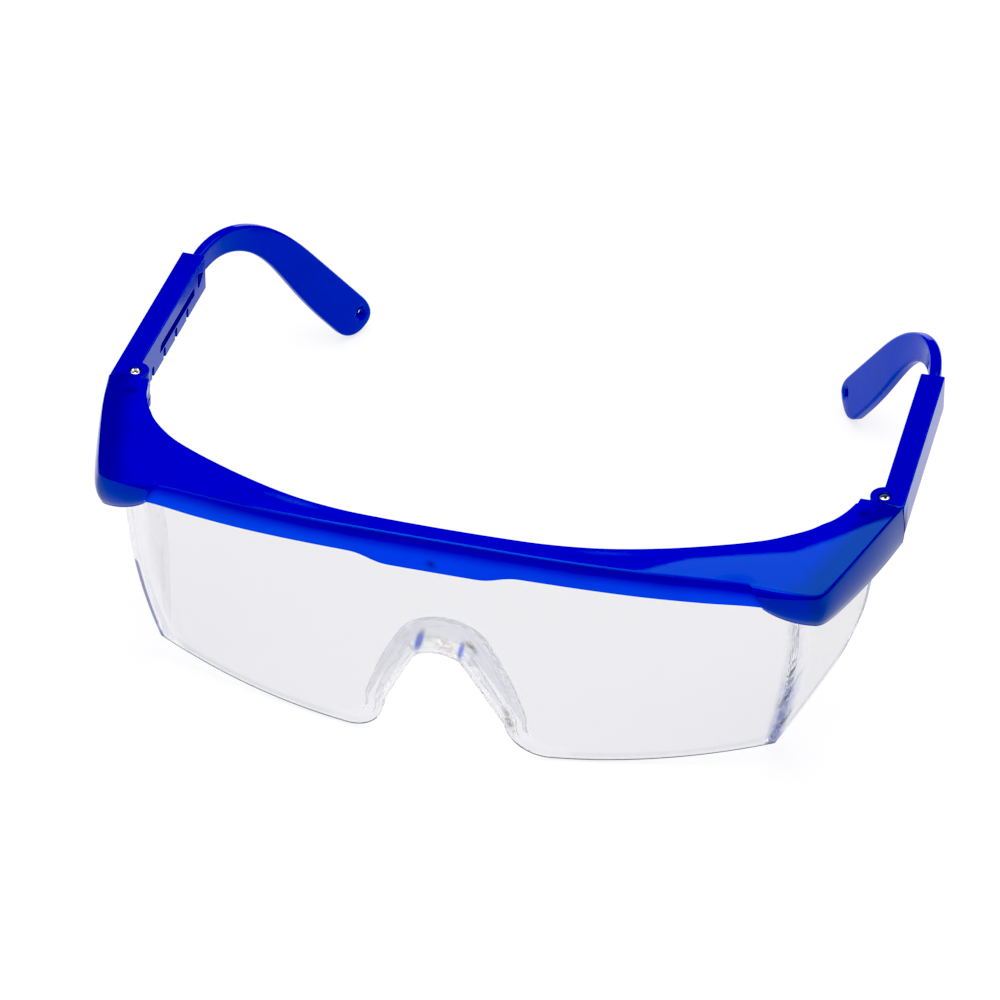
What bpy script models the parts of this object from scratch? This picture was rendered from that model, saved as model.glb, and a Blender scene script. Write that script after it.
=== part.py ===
"""Safety spectacles with a one-piece wrap lens and telescoping temples.

Working frame (millimetres, turned into metres when meshes are written):
X points to the wearer's left, Y points from the front of the lens towards the
ears, Z is up.  The design datum is the line through the top outer corners of
the two hinge ends; DATUM_Y and DATUM_Z move it so that the finished object has
its origin in the middle of its footprint, at the height of the lens's lowest
edge.  Temple parts are built for the wearer's left and mirrored.
"""

import math

import bmesh
import bpy
import numpy as np

MM = 0.001
DATUM_Y = -15.3          # datum line to the middle of the footprint
DATUM_Z = 43.9           # lens's lowest edge below the datum line
X_AXIS, Y_AXIS, Z_AXIS = np.eye(3)
MIRROR_X = np.array([-1.0, 1.0, 1.0])

# ------------------------------------------------- dimensions shared by pieces
# lens: a curved front panel folded into two side shields
LENS_VERTEX_Y = -47.2    # front of the lens at the nose, at datum height
LENS_RADIUS_H = 131.0    # curvature in plan
LENS_RADIUS_V = 165.0    # curvature in the upright plane
LENS_LEAN = 0.039        # lean at datum height, top forwards
FOLD_X = 66.2            # half width at the fold, at the top
FOLD_RADIUS_V = 131.0
FOLD_TOP_Z = -5.0

PLATE_THICK = 2.1        # top plate of the brow frame

# hinge, about an upright axis on each side
HINGE_X, HINGE_Y = 74.7, 3.1
HINGE_ORIGIN = (HINGE_X, HINGE_Y, 0.0)
SCREW_HOLE_R = 0.90

# temple sleeve and the channel in which the ear hook's bar slides
TOE_IN = math.radians(2.0)
SLEEVE_Y = (0.35, 42.8)
CHANNEL_X = (75.45, 78.05)
CHANNEL_Z = (-6.75, -1.05)
CHANNEL_MID_X, CHANNEL_MID_Z = sum(CHANNEL_X) / 2, sum(CHANNEL_Z) / 2


# ---------------------------------------------------------------------- curves
def smoothstep(start, end, value):
    share = np.clip((value - start) / (end - start), 0.0, 1.0)
    return share * share * (3.0 - 2.0 * share)


def quarter_round(share):
    """Fall of a quarter circle below its tangent, 0 to 1 as share goes from 0 to 1."""
    return 1 - math.sqrt(1 - share * share)


def spline(rows, t):
    """Catmull-Rom curve through rows, with t counted in rows."""
    rows = np.asarray(rows, float)
    count = len(rows)
    i = min(max(math.floor(t), 0), count - 2)
    u = t - i
    start, end = rows[i], rows[i + 1]
    before = rows[i - 1] if i > 0 else 2 * start - end
    after = rows[i + 2] if i + 2 < count else 2 * end - start
    return 0.5 * (2 * start + (end - before) * u
                  + (2 * before - 5 * start + 4 * end - after) * u * u
                  + (3 * start - before - 3 * end + after) * u ** 3)


# ------------------------------------- solids, each a pair of points and faces
def loft(sections):
    """Closed solid through equal-length closed sections."""
    points = [p for section in sections for p in section]
    n = len(sections[0])
    last = (len(sections) - 1) * n
    faces = []
    for start in range(0, last, n):
        for i in range(n):
            j = (i + 1) % n
            faces.append((start + i, start + j, start + n + j, start + n + i))
    faces.append(tuple(range(n)))
    faces.append(tuple(last + i for i in reversed(range(n))))
    return points, faces


def box(x_span, y_span, z_span):
    points = [(x, y, z) for x in x_span for y in y_span for z in z_span]
    faces = [(0, 1, 3, 2), (4, 6, 7, 5), (0, 4, 5, 1),
             (2, 3, 7, 6), (0, 2, 6, 4), (1, 5, 7, 3)]
    return points, faces


def circle(centre, radius, steps, across=X_AXIS, up=Y_AXIS):
    angles = [2 * math.pi * i / steps for i in range(steps)]
    return [centre + (across * math.cos(a) + up * math.sin(a)) * radius for a in angles]


def rod(ends, radius, steps, across=X_AXIS, up=Y_AXIS):
    """Cylinder between two end centres, round in the plane of across and up."""
    return loft([circle(np.asarray(end), radius, steps, across, up) for end in ends])


def upright_rod(x, y, z_span, radius, steps):
    return rod([(x, y, z) for z in z_span], radius, steps)


def hinge_rod(z_span, radius, steps, side=1):
    return upright_rod(side * HINGE_X, HINGE_Y, z_span, radius, steps)


def both_sides(half):
    """Rows of points from the middle to the left, extended with their mirror images."""
    return [[p * MIRROR_X for p in row] for row in reversed(half[1:])] + half


# --------------------------------------------------------------------- objects
def clear_scene():
    for obj in list(bpy.data.objects):
        bpy.data.objects.remove(obj, do_unlink=True)


def place_object(name, mesh, location):
    obj = bpy.data.objects.new(name, mesh)
    bpy.context.scene.collection.objects.link(obj)
    obj.location = location
    bpy.context.view_layer.update()
    return obj


def mesh_object(name, solid, mat=None, origin=(0.0, 0.0, 0.0)):
    """Object from a solid in the design frame, with its origin at origin."""
    points, faces = solid
    origin = np.asarray(origin, float)
    mesh = bpy.data.meshes.new(name)
    mesh.from_pydata([tuple((np.asarray(p, float) - origin) * MM) for p in points], [], faces)
    bm = bmesh.new()
    bm.from_mesh(mesh)
    bmesh.ops.remove_doubles(bm, verts=bm.verts, dist=1e-6)
    bmesh.ops.recalc_face_normals(bm, faces=bm.faces)
    bm.to_mesh(mesh)
    bm.free()
    if mat is not None:
        mesh.materials.append(mat)
    return place_object(name, mesh, (origin + np.array([0.0, DATUM_Y, DATUM_Z])) * MM)


def combine(target, solid, operation):
    """Boolean of target with a helper solid; the helper is removed afterwards."""
    helper = mesh_object("helper", solid)
    helper.hide_render = True
    mod = target.modifiers.new("cut", "BOOLEAN")
    mod.operation = operation
    mod.solver = "EXACT"
    mod.object = helper
    bpy.context.view_layer.update()
    graph = bpy.context.evaluated_depsgraph_get()
    mesh = bpy.data.meshes.new_from_object(target.evaluated_get(graph))
    target.modifiers.clear()
    old = target.data
    target.data = mesh
    bpy.data.meshes.remove(old)
    bpy.data.objects.remove(helper, do_unlink=True)


def add(target, solid):
    combine(target, solid, "UNION")


def cut(target, solid):
    combine(target, solid, "DIFFERENCE")


def shade(obj, sharp_degrees=35.0):
    """Smooth shading that breaks at edges sharper than the angle."""
    obj.data.shade_smooth()
    obj.data.set_sharp_from_angle(angle=math.radians(sharp_degrees))


def mirrored(obj, name):
    """The other hand of an object, as its own mesh."""
    mesh = obj.data.copy()
    mesh.name = name
    bm = bmesh.new()
    bm.from_mesh(mesh)
    for vertex in bm.verts:
        vertex.co.x = -vertex.co.x
    bmesh.ops.reverse_faces(bm, faces=bm.faces)
    bm.to_mesh(mesh)
    bm.free()
    x, y, z = obj.location
    return place_object(name, mesh, (-x, y, z))


# ------------------------------------------------------------------- materials
def material(name, colour, roughness, metallic=0.0, transmission=0.0):
    mat = bpy.data.materials.new(name)
    mat.use_nodes = True
    inputs = mat.node_tree.nodes["Principled BSDF"].inputs
    inputs["Base Color"].default_value = colour
    inputs["Roughness"].default_value = roughness
    inputs["Metallic"].default_value = metallic
    inputs["Transmission Weight"].default_value = transmission
    return mat


def frame_blue():
    return material("frame_blue", colour=(0.010, 0.012, 0.62, 1.0), roughness=0.22)


def lens_clear():
    return material("lens_clear", colour=(0.86, 0.87, 0.90, 0.35), roughness=0.04,
                    transmission=0.9)


def screw_steel():
    return material("screw_steel", colour=(0.62, 0.62, 0.60, 1.0), roughness=0.3, metallic=1.0)


# --------------------------------------------------- lens face and brow crease
def lens_y(x, z):
    """Outer face of the front panel."""
    return (LENS_VERTEX_Y + x * x / (2 * LENS_RADIUS_H) - LENS_LEAN * z
            + z * z / (2 * LENS_RADIUS_V))


def fold_x(z):
    depth = max(FOLD_TOP_Z - z, 0.0)
    return FOLD_X - depth * depth / (2 * FOLD_RADIUS_V)


# Brow frame stations (x, y, z), from the middle to the left hinge.
# CREASE is the top front edge, REAR the plate's rear edge, LOWER the lower outer edge.
CREASE = [
    (0, -49.1, 13.5), (10, -48.85, 13.3), (20, -48.0, 12.65), (30, -46.5, 11.7),
    (40, -44.0, 10.2), (50, -40.2, 7.9), (57.9, -36.2, 5.1), (65.0, -34.1, 3.3),
    (69.4, -32.3, 2.2), (71.2, -30.0, 1.9), (73.6, -22.4, 1.9), (76.8, -10.2, 1.7),
    (78.9, 0.0, 0.5),
]
REAR = [
    (0, -44.0, 12.3), (10, -43.5, 12.0), (20, -41.7, 10.9), (30, -38.2, 9.3),
    (40, -33.6, 7.9), (50, -28.6, 7.0), (57.5, -23.9, 6.1), (61.6, -20.0, 5.3),
    (64.6, -16.0, 4.2), (66.2, -13.2, 3.6), (68.0, -9.6, 2.6), (69.6, -5.2, 1.8),
    (70.7, 0.0, 0.9),
]
LOWER = [
    (0, -49.0, 7.1), (10, -48.6, 6.8), (20, -47.4, 5.95), (30, -45.4, 4.6),
    (40, -42.7, 2.95), (50, -39.4, 1.25), (60.3, -35.6, -0.6), (64.4, -34.3, -3.4),
    (68.6, -32.3, -5.3), (71.1, -30.0, -6.0), (73.9, -22.4, -6.6), (77.2, -10.2, -7.3),
    (79.2, 0.0, -8.0),
]
# the end cap's own lower edge leaves the lip at a steeper angle
CAP_LOWER = LOWER[:5] + [(57.6, -36.7, 3.4)] + LOWER[6:]
LAST_STATION = len(CREASE) - 1
CREASE_CURVE = np.array([spline(CREASE, t) for t in np.linspace(0, LAST_STATION, 200)])


def crease_z(x):
    """Height of the brow frame's crease, which the lens's top edge follows."""
    return float(np.interp(x, CREASE_CURVE[:, 0], CREASE_CURVE[:, 2]))


# ------------------------------------------------------------------ brow frame
WALL = 1.7
INNER_TOP_EXTRA = 0.2    # the caps' wall is thicker by this at the top
LENS_GAP = 0.45
LIP_INSET = 0.4          # sideways inset of the flange's inner face
LIP_RISE = 0.15          # inner lower edge above the outer one, flange
CAP_RISE = 0.25          # the same, end caps
CAP_FRONT_X = 66.0       # nearer the middle than this, a cap's wall stays ahead of the lens

CAP_STATION = 6.0        # the flange ends and the cap starts
CAP_JOIN = 0.05          # stations taken by the step between them
CAP_STEP = 0.45          # end caps stand proud of the brow flange
CAP_BULGE = 0.8
FLANGE_BULGE = 0.15
WALL_PROFILE = ((0.10, 0.25), (0.32, 0.8), (0.60, 1.0), (0.85, 0.62))   # (way down, bulge)

SCALLOP_HALF_W = 12.6    # the flange hangs lower in the middle
SCALLOP_BLEND = 3.2
SCALLOP_DROP = 1.7

PLATE_REAR_THIN = 0.2    # the plate is thinner by this at its rear edge
PLATE_CROWN = 0.2

# solid block that closes the hinge end
BLOCK_Y = (-2.6, 0.0)
BLOCK_STEP_X = 0.9
BLOCK_INNER_RISE = (0.05, 3.4)
LAST_SPACING = CREASE[-1][1] - CREASE[-2][1]

TONGUE_R = 2.55
TONGUE_FRONT_Y = -1.2
TONGUE_Z = (-6.3, -4.2)

PEG_R = 1.2
PEG_STEPS = 20
SIDE_PEG_X, SIDE_PEG_Y, SIDE_PEG_Z = 73.2, -6.2, (-4.2, 1.0)
MIDDLE_PEG_Y, MIDDLE_PEG_Z = (-48.3, -43.6), 7.6


def outward(t):
    """Level direction square to the lower edge, away from the head."""
    if t < 1e-6:
        return -Y_AXIS
    run = (spline(LOWER, t + 0.05) - spline(LOWER, t - 0.05))[:2]
    run = run / np.linalg.norm(run)
    return np.array([run[1], -run[0], 0.0])


def brow_section(t, cap):
    """One closed section: crease, outer wall, lower lip, inside, rear edge, top."""
    top, rear, low = (spline(rows, t) for rows in (CREASE, REAR, CAP_LOWER if cap else LOWER))
    out = outward(t)
    low = low - Z_AXIS * SCALLOP_DROP * (1 - smoothstep(
        SCALLOP_HALF_W - SCALLOP_BLEND, SCALLOP_HALF_W + SCALLOP_BLEND, low[0]))
    inner_top = top - Z_AXIS * PLATE_THICK
    inside = []
    if cap:
        step = CAP_STEP * (1.0 - 0.7 * smoothstep(8.0, 10.0, t))
        bulge = CAP_BULGE * (1.0 - 0.55 * smoothstep(9.0, 12.0, t))
        for p in (low - out * WALL + Z_AXIS * CAP_RISE,
                  inner_top - out * (WALL + INNER_TOP_EXTRA)):
            if p[0] < CAP_FRONT_X:
                p[1] = min(p[1], lens_y(p[0], p[2]) - LENS_GAP)
            inside.append(p)
    else:
        step, bulge = 0.0, FLANGE_BULGE
        for p, rise in ((low, LIP_RISE), (inner_top, 0.0)):
            x = p[0] - LIP_INSET * out[0]
            inside.append(np.array([x, lens_y(x, p[2]) - LENS_GAP, p[2] + rise]))
    wall = [top + (low - top) * down + out * (step + bulge * share)
            for down, share in WALL_PROFILE]
    return [top, *wall, low + out * step, *inside,
            rear - Z_AXIS * (PLATE_THICK - PLATE_REAR_THIN), rear,
            (top + rear) / 2 + Z_AXIS * PLATE_CROWN]


def block_section(y):
    """Section of the hinge end's block, flattened to the plane at y."""
    section = brow_section(LAST_STATION + y / LAST_SPACING, cap=True)
    section = [np.array([x, y, z]) for x, _, z in section]
    *outer, _, _, under, rear, crown = section
    low_z, inner_x = outer[-1][2], under[0]
    inside = [np.array([inner_x + BLOCK_STEP_X, y, low_z + rise]) for rise in BLOCK_INNER_RISE]
    return [*outer, *inside, np.array([inner_x, y, rear[2] - PLATE_THICK]), rear, crown]


def brow_shell():
    flange_stations = np.concatenate([np.arange(0.0, 6.0, 0.25), [5.9, CAP_STATION]])
    cap_stations = np.concatenate([[CAP_STATION + CAP_JOIN], np.arange(6.25, 10.0, 0.25),
                                   np.arange(10.0, 11.7, 0.35), [11.72]])
    half = [brow_section(t, cap=False) for t in flange_stations]
    half += [brow_section(t, cap=True) for t in cap_stations]
    half += [block_section(y) for y in BLOCK_Y]
    return loft(both_sides(half))


def build_brow_frame(mat):
    frame = mesh_object("brow_frame", brow_shell(), mat)
    for side in (1, -1):
        x = side * HINGE_X
        add(frame, box((x - TONGUE_R, x + TONGUE_R), (TONGUE_FRONT_Y, HINGE_Y), TONGUE_Z))
        add(frame, hinge_rod(TONGUE_Z, TONGUE_R, 32, side))
        cut(frame, hinge_rod((TONGUE_Z[0] - 1, TONGUE_Z[1] + 1), SCREW_HOLE_R, 24, side))
        add(frame, upright_rod(side * SIDE_PEG_X, SIDE_PEG_Y, SIDE_PEG_Z, PEG_R, PEG_STEPS))
    # peg behind the middle of the flange, which the lens hangs on
    ends = [(0.0, y, MIDDLE_PEG_Z) for y in MIDDLE_PEG_Y]
    add(frame, rod(ends, PEG_R, PEG_STEPS, X_AXIS, Z_AXIS))
    shade(frame)


# ------------------------------------------------------------------------ lens
LENS_THICK = 1.9
LENS_ROWS = 12
LENS_LOW_Z = -DATUM_Z
LENS_TOP_GAP = 1.5       # lens's top edge below the brow plate
LENS_CORNER_Z = -40.6    # lower end of the fold
LOW_RISE_X = (22.0, 61.5)    # the lower edge climbs to the corner between these
FOLD_INSET = 0.85        # the inner face is narrower at the fold by this share of inset

SHIELD_FLARE = 0.268     # side shields open towards the rear
SHIELD_FRONT_Y, SHIELD_REAR_Y = -26.7, 0.6
SHIELD_LENGTH = SHIELD_REAR_Y - SHIELD_FRONT_Y
SHIELD_SHARES = (0.05, 0.18, 0.32, 0.46, 0.60, 0.74, 0.85, 0.93, 0.98, 1.0)
SHIELD_TOP_Z = -1.4
SHIELD_TOP_FALL = 1.0    # even fall of the top edge, front to rear
SHIELD_TOP_STEP = 7.2    # step down near the rear
SHIELD_LOW_RISE = 7.6
REAR_ROUND_START = 0.74  # share of the length where the lower rear rounding starts
REAR_ROUND_H = 9.0
FOLD_EASE_SHARE = 0.2    # the inner face is set back up to this share
FOLD_EASE = 0.55

# nose opening: an arch, a side that flares outwards, and a wide round corner
ARCH_END, SIDE_END = 0.28, 0.62      # shares of the outline's steps
NOSE_TOP_Z = -16.6
NOSE_TOP_HALF_W = 4.6
ARCH_ANGLE = math.radians(68)
ARCH_FALL = 1.9
ARCH_VERSINE = 0.625     # rounded 1 - cos(ARCH_ANGLE)
NOSE_SIDE_HALF_W = 12.0  # at the lower end of the sloping side
NOSE_SIDE_LOW_Z = LENS_LOW_Z + 9.5
NOSE_LOW_HALF_W = 20.2   # at the lens's lower edge

# moulded rim of the nose opening
RIM_END_Z = LENS_LOW_Z + 3.5
RIM_DEPTH = (6.2, 0.7)        # how far it reaches back, at the arch and at its lower ends
RIM_FLARE = (1.9, 2.5, 1.1)   # how far it opens out: arch, middle, lower ends
RIM_THICK = 2.2
RIM_EDGE = 0.5                # chamfer of its rear edges
RIM_ROOT_DEPTH, RIM_ROOT_FLARE = 0.4, 0.05

# notches that clear the pegs of the brow frame
MIDDLE_NOTCH_X, MIDDLE_NOTCH_Y, MIDDLE_NOTCH_LOW_Z = (-1.6, 1.6), (-55, -40), 5.9
SIDE_NOTCH_X, SIDE_NOTCH_Y, SIDE_NOTCH_Z = (69.0, 77.0), (-7.9, -4.5), (-4.8, 3.0)


def nose_outline(steps):
    """Half outline (x, z) of the opening, from the top centre to the lens's lower edge."""
    outline = []
    arch_low_z = NOSE_TOP_Z - ARCH_FALL
    for k in range(steps + 1):
        u = k / steps
        if u < ARCH_END:
            angle = u / ARCH_END * ARCH_ANGLE
            x = NOSE_TOP_HALF_W * math.sin(angle) / math.sin(ARCH_ANGLE)
            z = NOSE_TOP_Z - ARCH_FALL * (1 - math.cos(angle)) / ARCH_VERSINE
        elif u < SIDE_END:
            v = (u - ARCH_END) / (SIDE_END - ARCH_END)
            x = NOSE_TOP_HALF_W + (NOSE_SIDE_HALF_W - NOSE_TOP_HALF_W) * v ** 0.93
            z = arch_low_z + (NOSE_SIDE_LOW_Z - arch_low_z) * v
        else:
            angle = (u - SIDE_END) / (1 - SIDE_END) * math.pi / 2
            spread = (1 - math.cos(angle)) ** 0.92
            x = NOSE_SIDE_HALF_W + (NOSE_LOW_HALF_W - NOSE_SIDE_HALF_W) * spread
            z = NOSE_SIDE_LOW_Z + (LENS_LOW_Z - NOSE_SIDE_LOW_Z) * math.sin(angle)
        outline.append((x, z))
    return outline


def front_low_z(x):
    """Lower edge of the front panel beyond the nose opening."""
    start, end = LOW_RISE_X
    share = np.clip((x - start) / (end - start), 0, 1)
    return LENS_LOW_Z + (LENS_CORNER_Z - LENS_LOW_Z) * share ** 2.0


def shield_low_z(share):
    """Lower edge of a side shield, share of the way from the fold to the rear."""
    rounding = np.clip((share - REAR_ROUND_START) / (1 - REAR_ROUND_START), 0, 1)
    return (LENS_CORNER_Z + SHIELD_LOW_RISE * share ** 1.35
            + REAR_ROUND_H * quarter_round(rounding))


def front_feet():
    """Lower ends (x, z) of the front panel's columns, from the middle to the fold."""
    feet = nose_outline(20)
    nose_x = feet[-1][0]
    for x in np.concatenate([[nose_x + 1.5, 24.5], np.arange(27.5, 58.0, 3.4), [59.6]]):
        feet.append((x, front_low_z(x)))
    feet.append((fold_x(LENS_CORNER_Z), LENS_CORNER_Z))
    return feet


def levels(top_z, low_z):
    return [top_z + (low_z - top_z) * (r / LENS_ROWS) for r in range(LENS_ROWS + 1)]


def front_column(low_x, low_z, inset):
    """Points down the front panel; columns spread towards the top, where it is wider."""
    ratio = low_x / fold_x(low_z)
    column = []
    for z in levels(crease_z(low_x) - PLATE_THICK - LENS_TOP_GAP, low_z):
        x = low_x + (fold_x(z) - fold_x(low_z)) * ratio ** 3
        column.append(np.array([x - inset * FOLD_INSET * ratio ** 12,
                                lens_y(x, z) + inset, z]))
    return column


def shield_column(share, inset):
    """Points down a side shield, share of the way from the fold to the rear."""
    top_z = (SHIELD_TOP_Z - SHIELD_TOP_FALL * share
             - SHIELD_TOP_STEP * smoothstep(0.80, 0.90, share))
    ease = inset * FOLD_EASE * max(0.0, 1 - share / FOLD_EASE_SHARE)
    column = []
    for z in levels(top_z, shield_low_z(share)):
        front_y = lens_y(fold_x(z), z)
        y = front_y + (SHIELD_REAR_Y - front_y) * share
        x = fold_x(z) + SHIELD_FLARE * (y - front_y) - inset
        column.append(np.array([x, y + ease, z]))
    return column


def lens_sheet(inset):
    """Grid of points: columns from right to left, each from top to bottom."""
    half = [front_column(x, z, inset) for x, z in front_feet()]
    half += [shield_column(share, inset) for share in SHIELD_SHARES]
    return both_sides(half)


def lens_shell():
    """Closed solid between the outer sheet (0) and the inner sheet (1)."""
    sheets = [lens_sheet(0.0), lens_sheet(LENS_THICK)]
    columns, rows = len(sheets[0]), LENS_ROWS + 1
    points = [p for sheet in sheets for column in sheet for p in column]

    def idx(sheet, c, r):
        return (sheet * columns + c) * rows + r

    faces = []
    for c in range(columns - 1):
        for r in range(rows - 1):
            faces.append((idx(0, c, r), idx(0, c, r + 1), idx(0, c + 1, r + 1), idx(0, c + 1, r)))
            faces.append((idx(1, c, r), idx(1, c + 1, r), idx(1, c + 1, r + 1), idx(1, c, r + 1)))
        for r in (0, rows - 1):
            quad = (idx(0, c, r), idx(0, c + 1, r), idx(1, c + 1, r), idx(1, c, r))
            faces.append(quad if r == 0 else quad[::-1])
    for r in range(rows - 1):
        for c in (0, columns - 1):
            quad = (idx(0, c, r), idx(1, c, r), idx(1, c, r + 1), idx(0, c, r + 1))
            faces.append(quad if c == 0 else quad[::-1])
    return points, faces


def nose_rim():
    """Rim round the nose opening, running back and outwards."""
    line = [(x, z) for x, z in nose_outline(32) if z > RIM_END_Z]
    last = len(line) - 1
    line = [(-x, z) for x, z in reversed(line[1:])] + line
    arch_depth, end_depth = RIM_DEPTH
    arch_flare, middle_flare, end_flare = RIM_FLARE
    sections = []
    for k, (x, z) in enumerate(line):
        before, after = line[max(k - 1, 0)], line[min(k + 1, len(line) - 1)]
        run_x, run_z = after[0] - before[0], after[1] - before[1]
        length = math.hypot(run_x, run_z)
        away_x, away_z = -run_z / length, run_x / length     # away from the opening
        y = lens_y(x, z)
        share = abs(k - last) / last            # 0 at the arch, 1 at the lower ends
        deep = LENS_THICK * 0.6 + arch_depth + (end_depth - arch_depth) * share ** 1.6
        wide = (arch_flare + (middle_flare - arch_flare) * smoothstep(0, 0.5, share)
                + (end_flare - middle_flare) * smoothstep(0.55, 1.0, share))
        # (depth behind the lens face, distance away from the opening)
        profile = (
            (RIM_ROOT_DEPTH, RIM_ROOT_FLARE),
            (deep - RIM_EDGE, wide),
            (deep, wide + RIM_EDGE),
            (deep, wide + (RIM_THICK - RIM_EDGE)),
            (deep - RIM_EDGE, wide + RIM_THICK),
            (RIM_ROOT_DEPTH, RIM_ROOT_FLARE + RIM_THICK),
        )
        sections.append([(x + away_x * away, y + depth, z + away_z * away)
                         for depth, away in profile])
    return loft(sections)


def build_lens(mat):
    lens = mesh_object("lens", lens_shell(), mat)
    add(lens, nose_rim())
    cut(lens, box(MIDDLE_NOTCH_X, MIDDLE_NOTCH_Y, (MIDDLE_NOTCH_LOW_Z, crease_z(0) + 2)))
    for side in (1, -1):
        cut(lens, box(sorted(side * x for x in SIDE_NOTCH_X), SIDE_NOTCH_Y, SIDE_NOTCH_Z))
    shade(lens, sharp_degrees=30.0)


# --------------------------------------------------------------- temple sleeve
SLEEVE_W, SLEEVE_H = 4.8, 7.9
SLEEVE_OUT_X = 79.0
SLEEVE_IN_X = SLEEVE_OUT_X - SLEEVE_W
CHANNEL_Y = 7.6          # closed front end of the channel

LUG_R = 2.8
LUG_LOW_Z = -8.4
LUG_BLOCK_W = 2.0        # foot that joins the lug to the sleeve's underside
LUG_BLOCK_REAR = 5       # the foot's reach behind the hinge axis
SLOT_Z = (-6.6, -3.9)
SLOT_REACH = 6           # slot's cut from the hinge axis towards the head
SCREW_SINK_R, SCREW_SINK = 1.3, 0.95

INNER_WALL_CUT_X = (SLEEVE_IN_X - 2, CHANNEL_X[0] + 0.5)     # right through the inner wall
VIEW_SLOT_Y, VIEW_SLOT_Z = (15.6, 36.0), (-5.0, -3.2)
WINDOW = [(38.3, -1.6), (41.3, -3.0), (38.8, -4.9), (38.0, -4.6)]    # corners (y, z)
NOTCH_PITCH, NOTCH_FIRST_Y, NOTCH_COUNT = 6.7, 11.5, 4
NOTCH_HALF_W = 0.65
NOTCH_Z = (-10, -5.3)


def toe(points):
    """Turn points inwards by the temple's toe-in, about the hinge axis."""
    c, s = math.cos(TOE_IN), math.sin(TOE_IN)
    turned = []
    for x, y, z in points:
        dx, dy = x - HINGE_X, y - HINGE_Y
        turned.append((HINGE_X + c * dx - s * dy, HINGE_Y + s * dx + c * dy, z))
    return turned


def toed(solid):
    points, faces = solid
    return toe(points), faces


def hinge_cuts():
    """Slot for the frame's tongue, open to the front and to the inside, and screw hole."""
    front_y, slot_x, slot_r = SLEEVE_Y[0], HINGE_X - SLOT_REACH, LUG_R + 0.25
    return [
        hinge_rod(SLOT_Z, slot_r, 32),
        box((slot_x, HINGE_X + LUG_R + 0.2), (front_y - 2, HINGE_Y), SLOT_Z),
        box((slot_x, HINGE_X), (HINGE_Y - 1, HINGE_Y + LUG_R + 0.2), SLOT_Z),
        hinge_rod((-10, 1), SCREW_HOLE_R, 24),
        hinge_rod((-SCREW_SINK, 1), SCREW_SINK_R, 24),
    ]


def channel_cuts():
    """Channel of the ear hook's bar, open to the rear, and openings in its inner wall."""
    cuts = [
        box(CHANNEL_X, (CHANNEL_Y, SLEEVE_Y[1] + 5), CHANNEL_Z),
        box(INNER_WALL_CUT_X, VIEW_SLOT_Y, VIEW_SLOT_Z),
        loft([[(x, y, z) for y, z in WINDOW] for x in INNER_WALL_CUT_X]),
    ]
    for k in range(NOTCH_COUNT):
        y = NOTCH_FIRST_Y + k * NOTCH_PITCH
        cuts.append(box(INNER_WALL_CUT_X, (y - NOTCH_HALF_W, y + NOTCH_HALF_W), NOTCH_Z))
    return cuts


def build_sleeve(mat):
    body = box((SLEEVE_IN_X, SLEEVE_OUT_X), SLEEVE_Y, (-SLEEVE_H, 0.0))
    sleeve = mesh_object("temple_sleeve_left", toed(body), mat, HINGE_ORIGIN)
    add(sleeve, toed(hinge_rod((LUG_LOW_Z, 0.0), LUG_R, 32)))
    add(sleeve, toed(box((HINGE_X, HINGE_X + LUG_BLOCK_W),
                         (SLEEVE_Y[0], HINGE_Y + LUG_BLOCK_REAR),
                         (LUG_LOW_Z, -SLEEVE_H + 1))))
    for solid in hinge_cuts() + channel_cuts():
        cut(sleeve, toed(solid))
    shade(sleeve)
    return sleeve


# -------------------------------------------------------------------- ear hook
BAR_W, BAR_H = 2.0, 5.0
BAR_Y = (9.0, SLEEVE_Y[1] - 1.6)
BAR_ROUND = 0.4
HOOK_LENGTH = 62.3       # from the sleeve's mouth to the tip, along the upper edge
HOOK_START = np.array([75.3, SLEEVE_Y[1] - 0.4, -1.4])
HOOK_YAW, HOOK_DROP = math.radians(48.0), math.radians(52.5)
YAW_START, YAW_RUN = -5.0, 40.0
DROP_START, DROP_RUN = 1.2, 39.5
HOOK_LEAN = 0.5          # the strap's face tips upwards as it drops
HOOK_START_WIDTH, HOOK_WIDTH = BAR_H - 0.3, 8.9
HOOK_THICK = 2.4
HOOK_ROUND = 0.6
TIP_LENGTH = 5.0         # the tip is rounded over this length
TIP_CUT_TOP, TIP_CUT_LOW = 2.6, 4.6
TIP_THINNING = 0.35
HOLE_R = 0.8
HOLE_FROM_TIP, HOLE_DOWN = 2.9, 2.7
HOLE_CUT = 4.0           # half length of the cut
HOOK_ORIGIN = (HINGE_X + 2.0, SLEEVE_Y[1], CHANNEL_MID_Z)


def hook_heading(s):
    """Direction of the hook s mm beyond the sleeve, its yaw, and its share of the drop."""
    turn = smoothstep(YAW_START, YAW_START + YAW_RUN, s)
    fall = smoothstep(DROP_START, DROP_START + DROP_RUN, s)
    yaw = TOE_IN + (HOOK_YAW - TOE_IN) * turn
    drop = HOOK_DROP * fall
    along = np.array([-math.sin(yaw) * math.cos(drop), math.cos(yaw) * math.cos(drop),
                      -math.sin(drop)])
    return along, yaw, fall


def hook_path(s):
    """Upper edge of the hook s mm beyond the sleeve: place, heading, face and width directions."""
    steps = max(2, int(s * 1.5))
    place = HOOK_START
    for k in range(steps):
        place = place + s / steps * hook_heading((k + 0.5) * s / steps)[0]
    along, yaw, fall = hook_heading(s)
    face = np.array([-math.cos(yaw), -math.sin(yaw), HOOK_LEAN * fall])
    face = face - along * face.dot(along)
    face /= np.linalg.norm(face)
    return place, along, face, np.cross(face, along)


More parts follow.
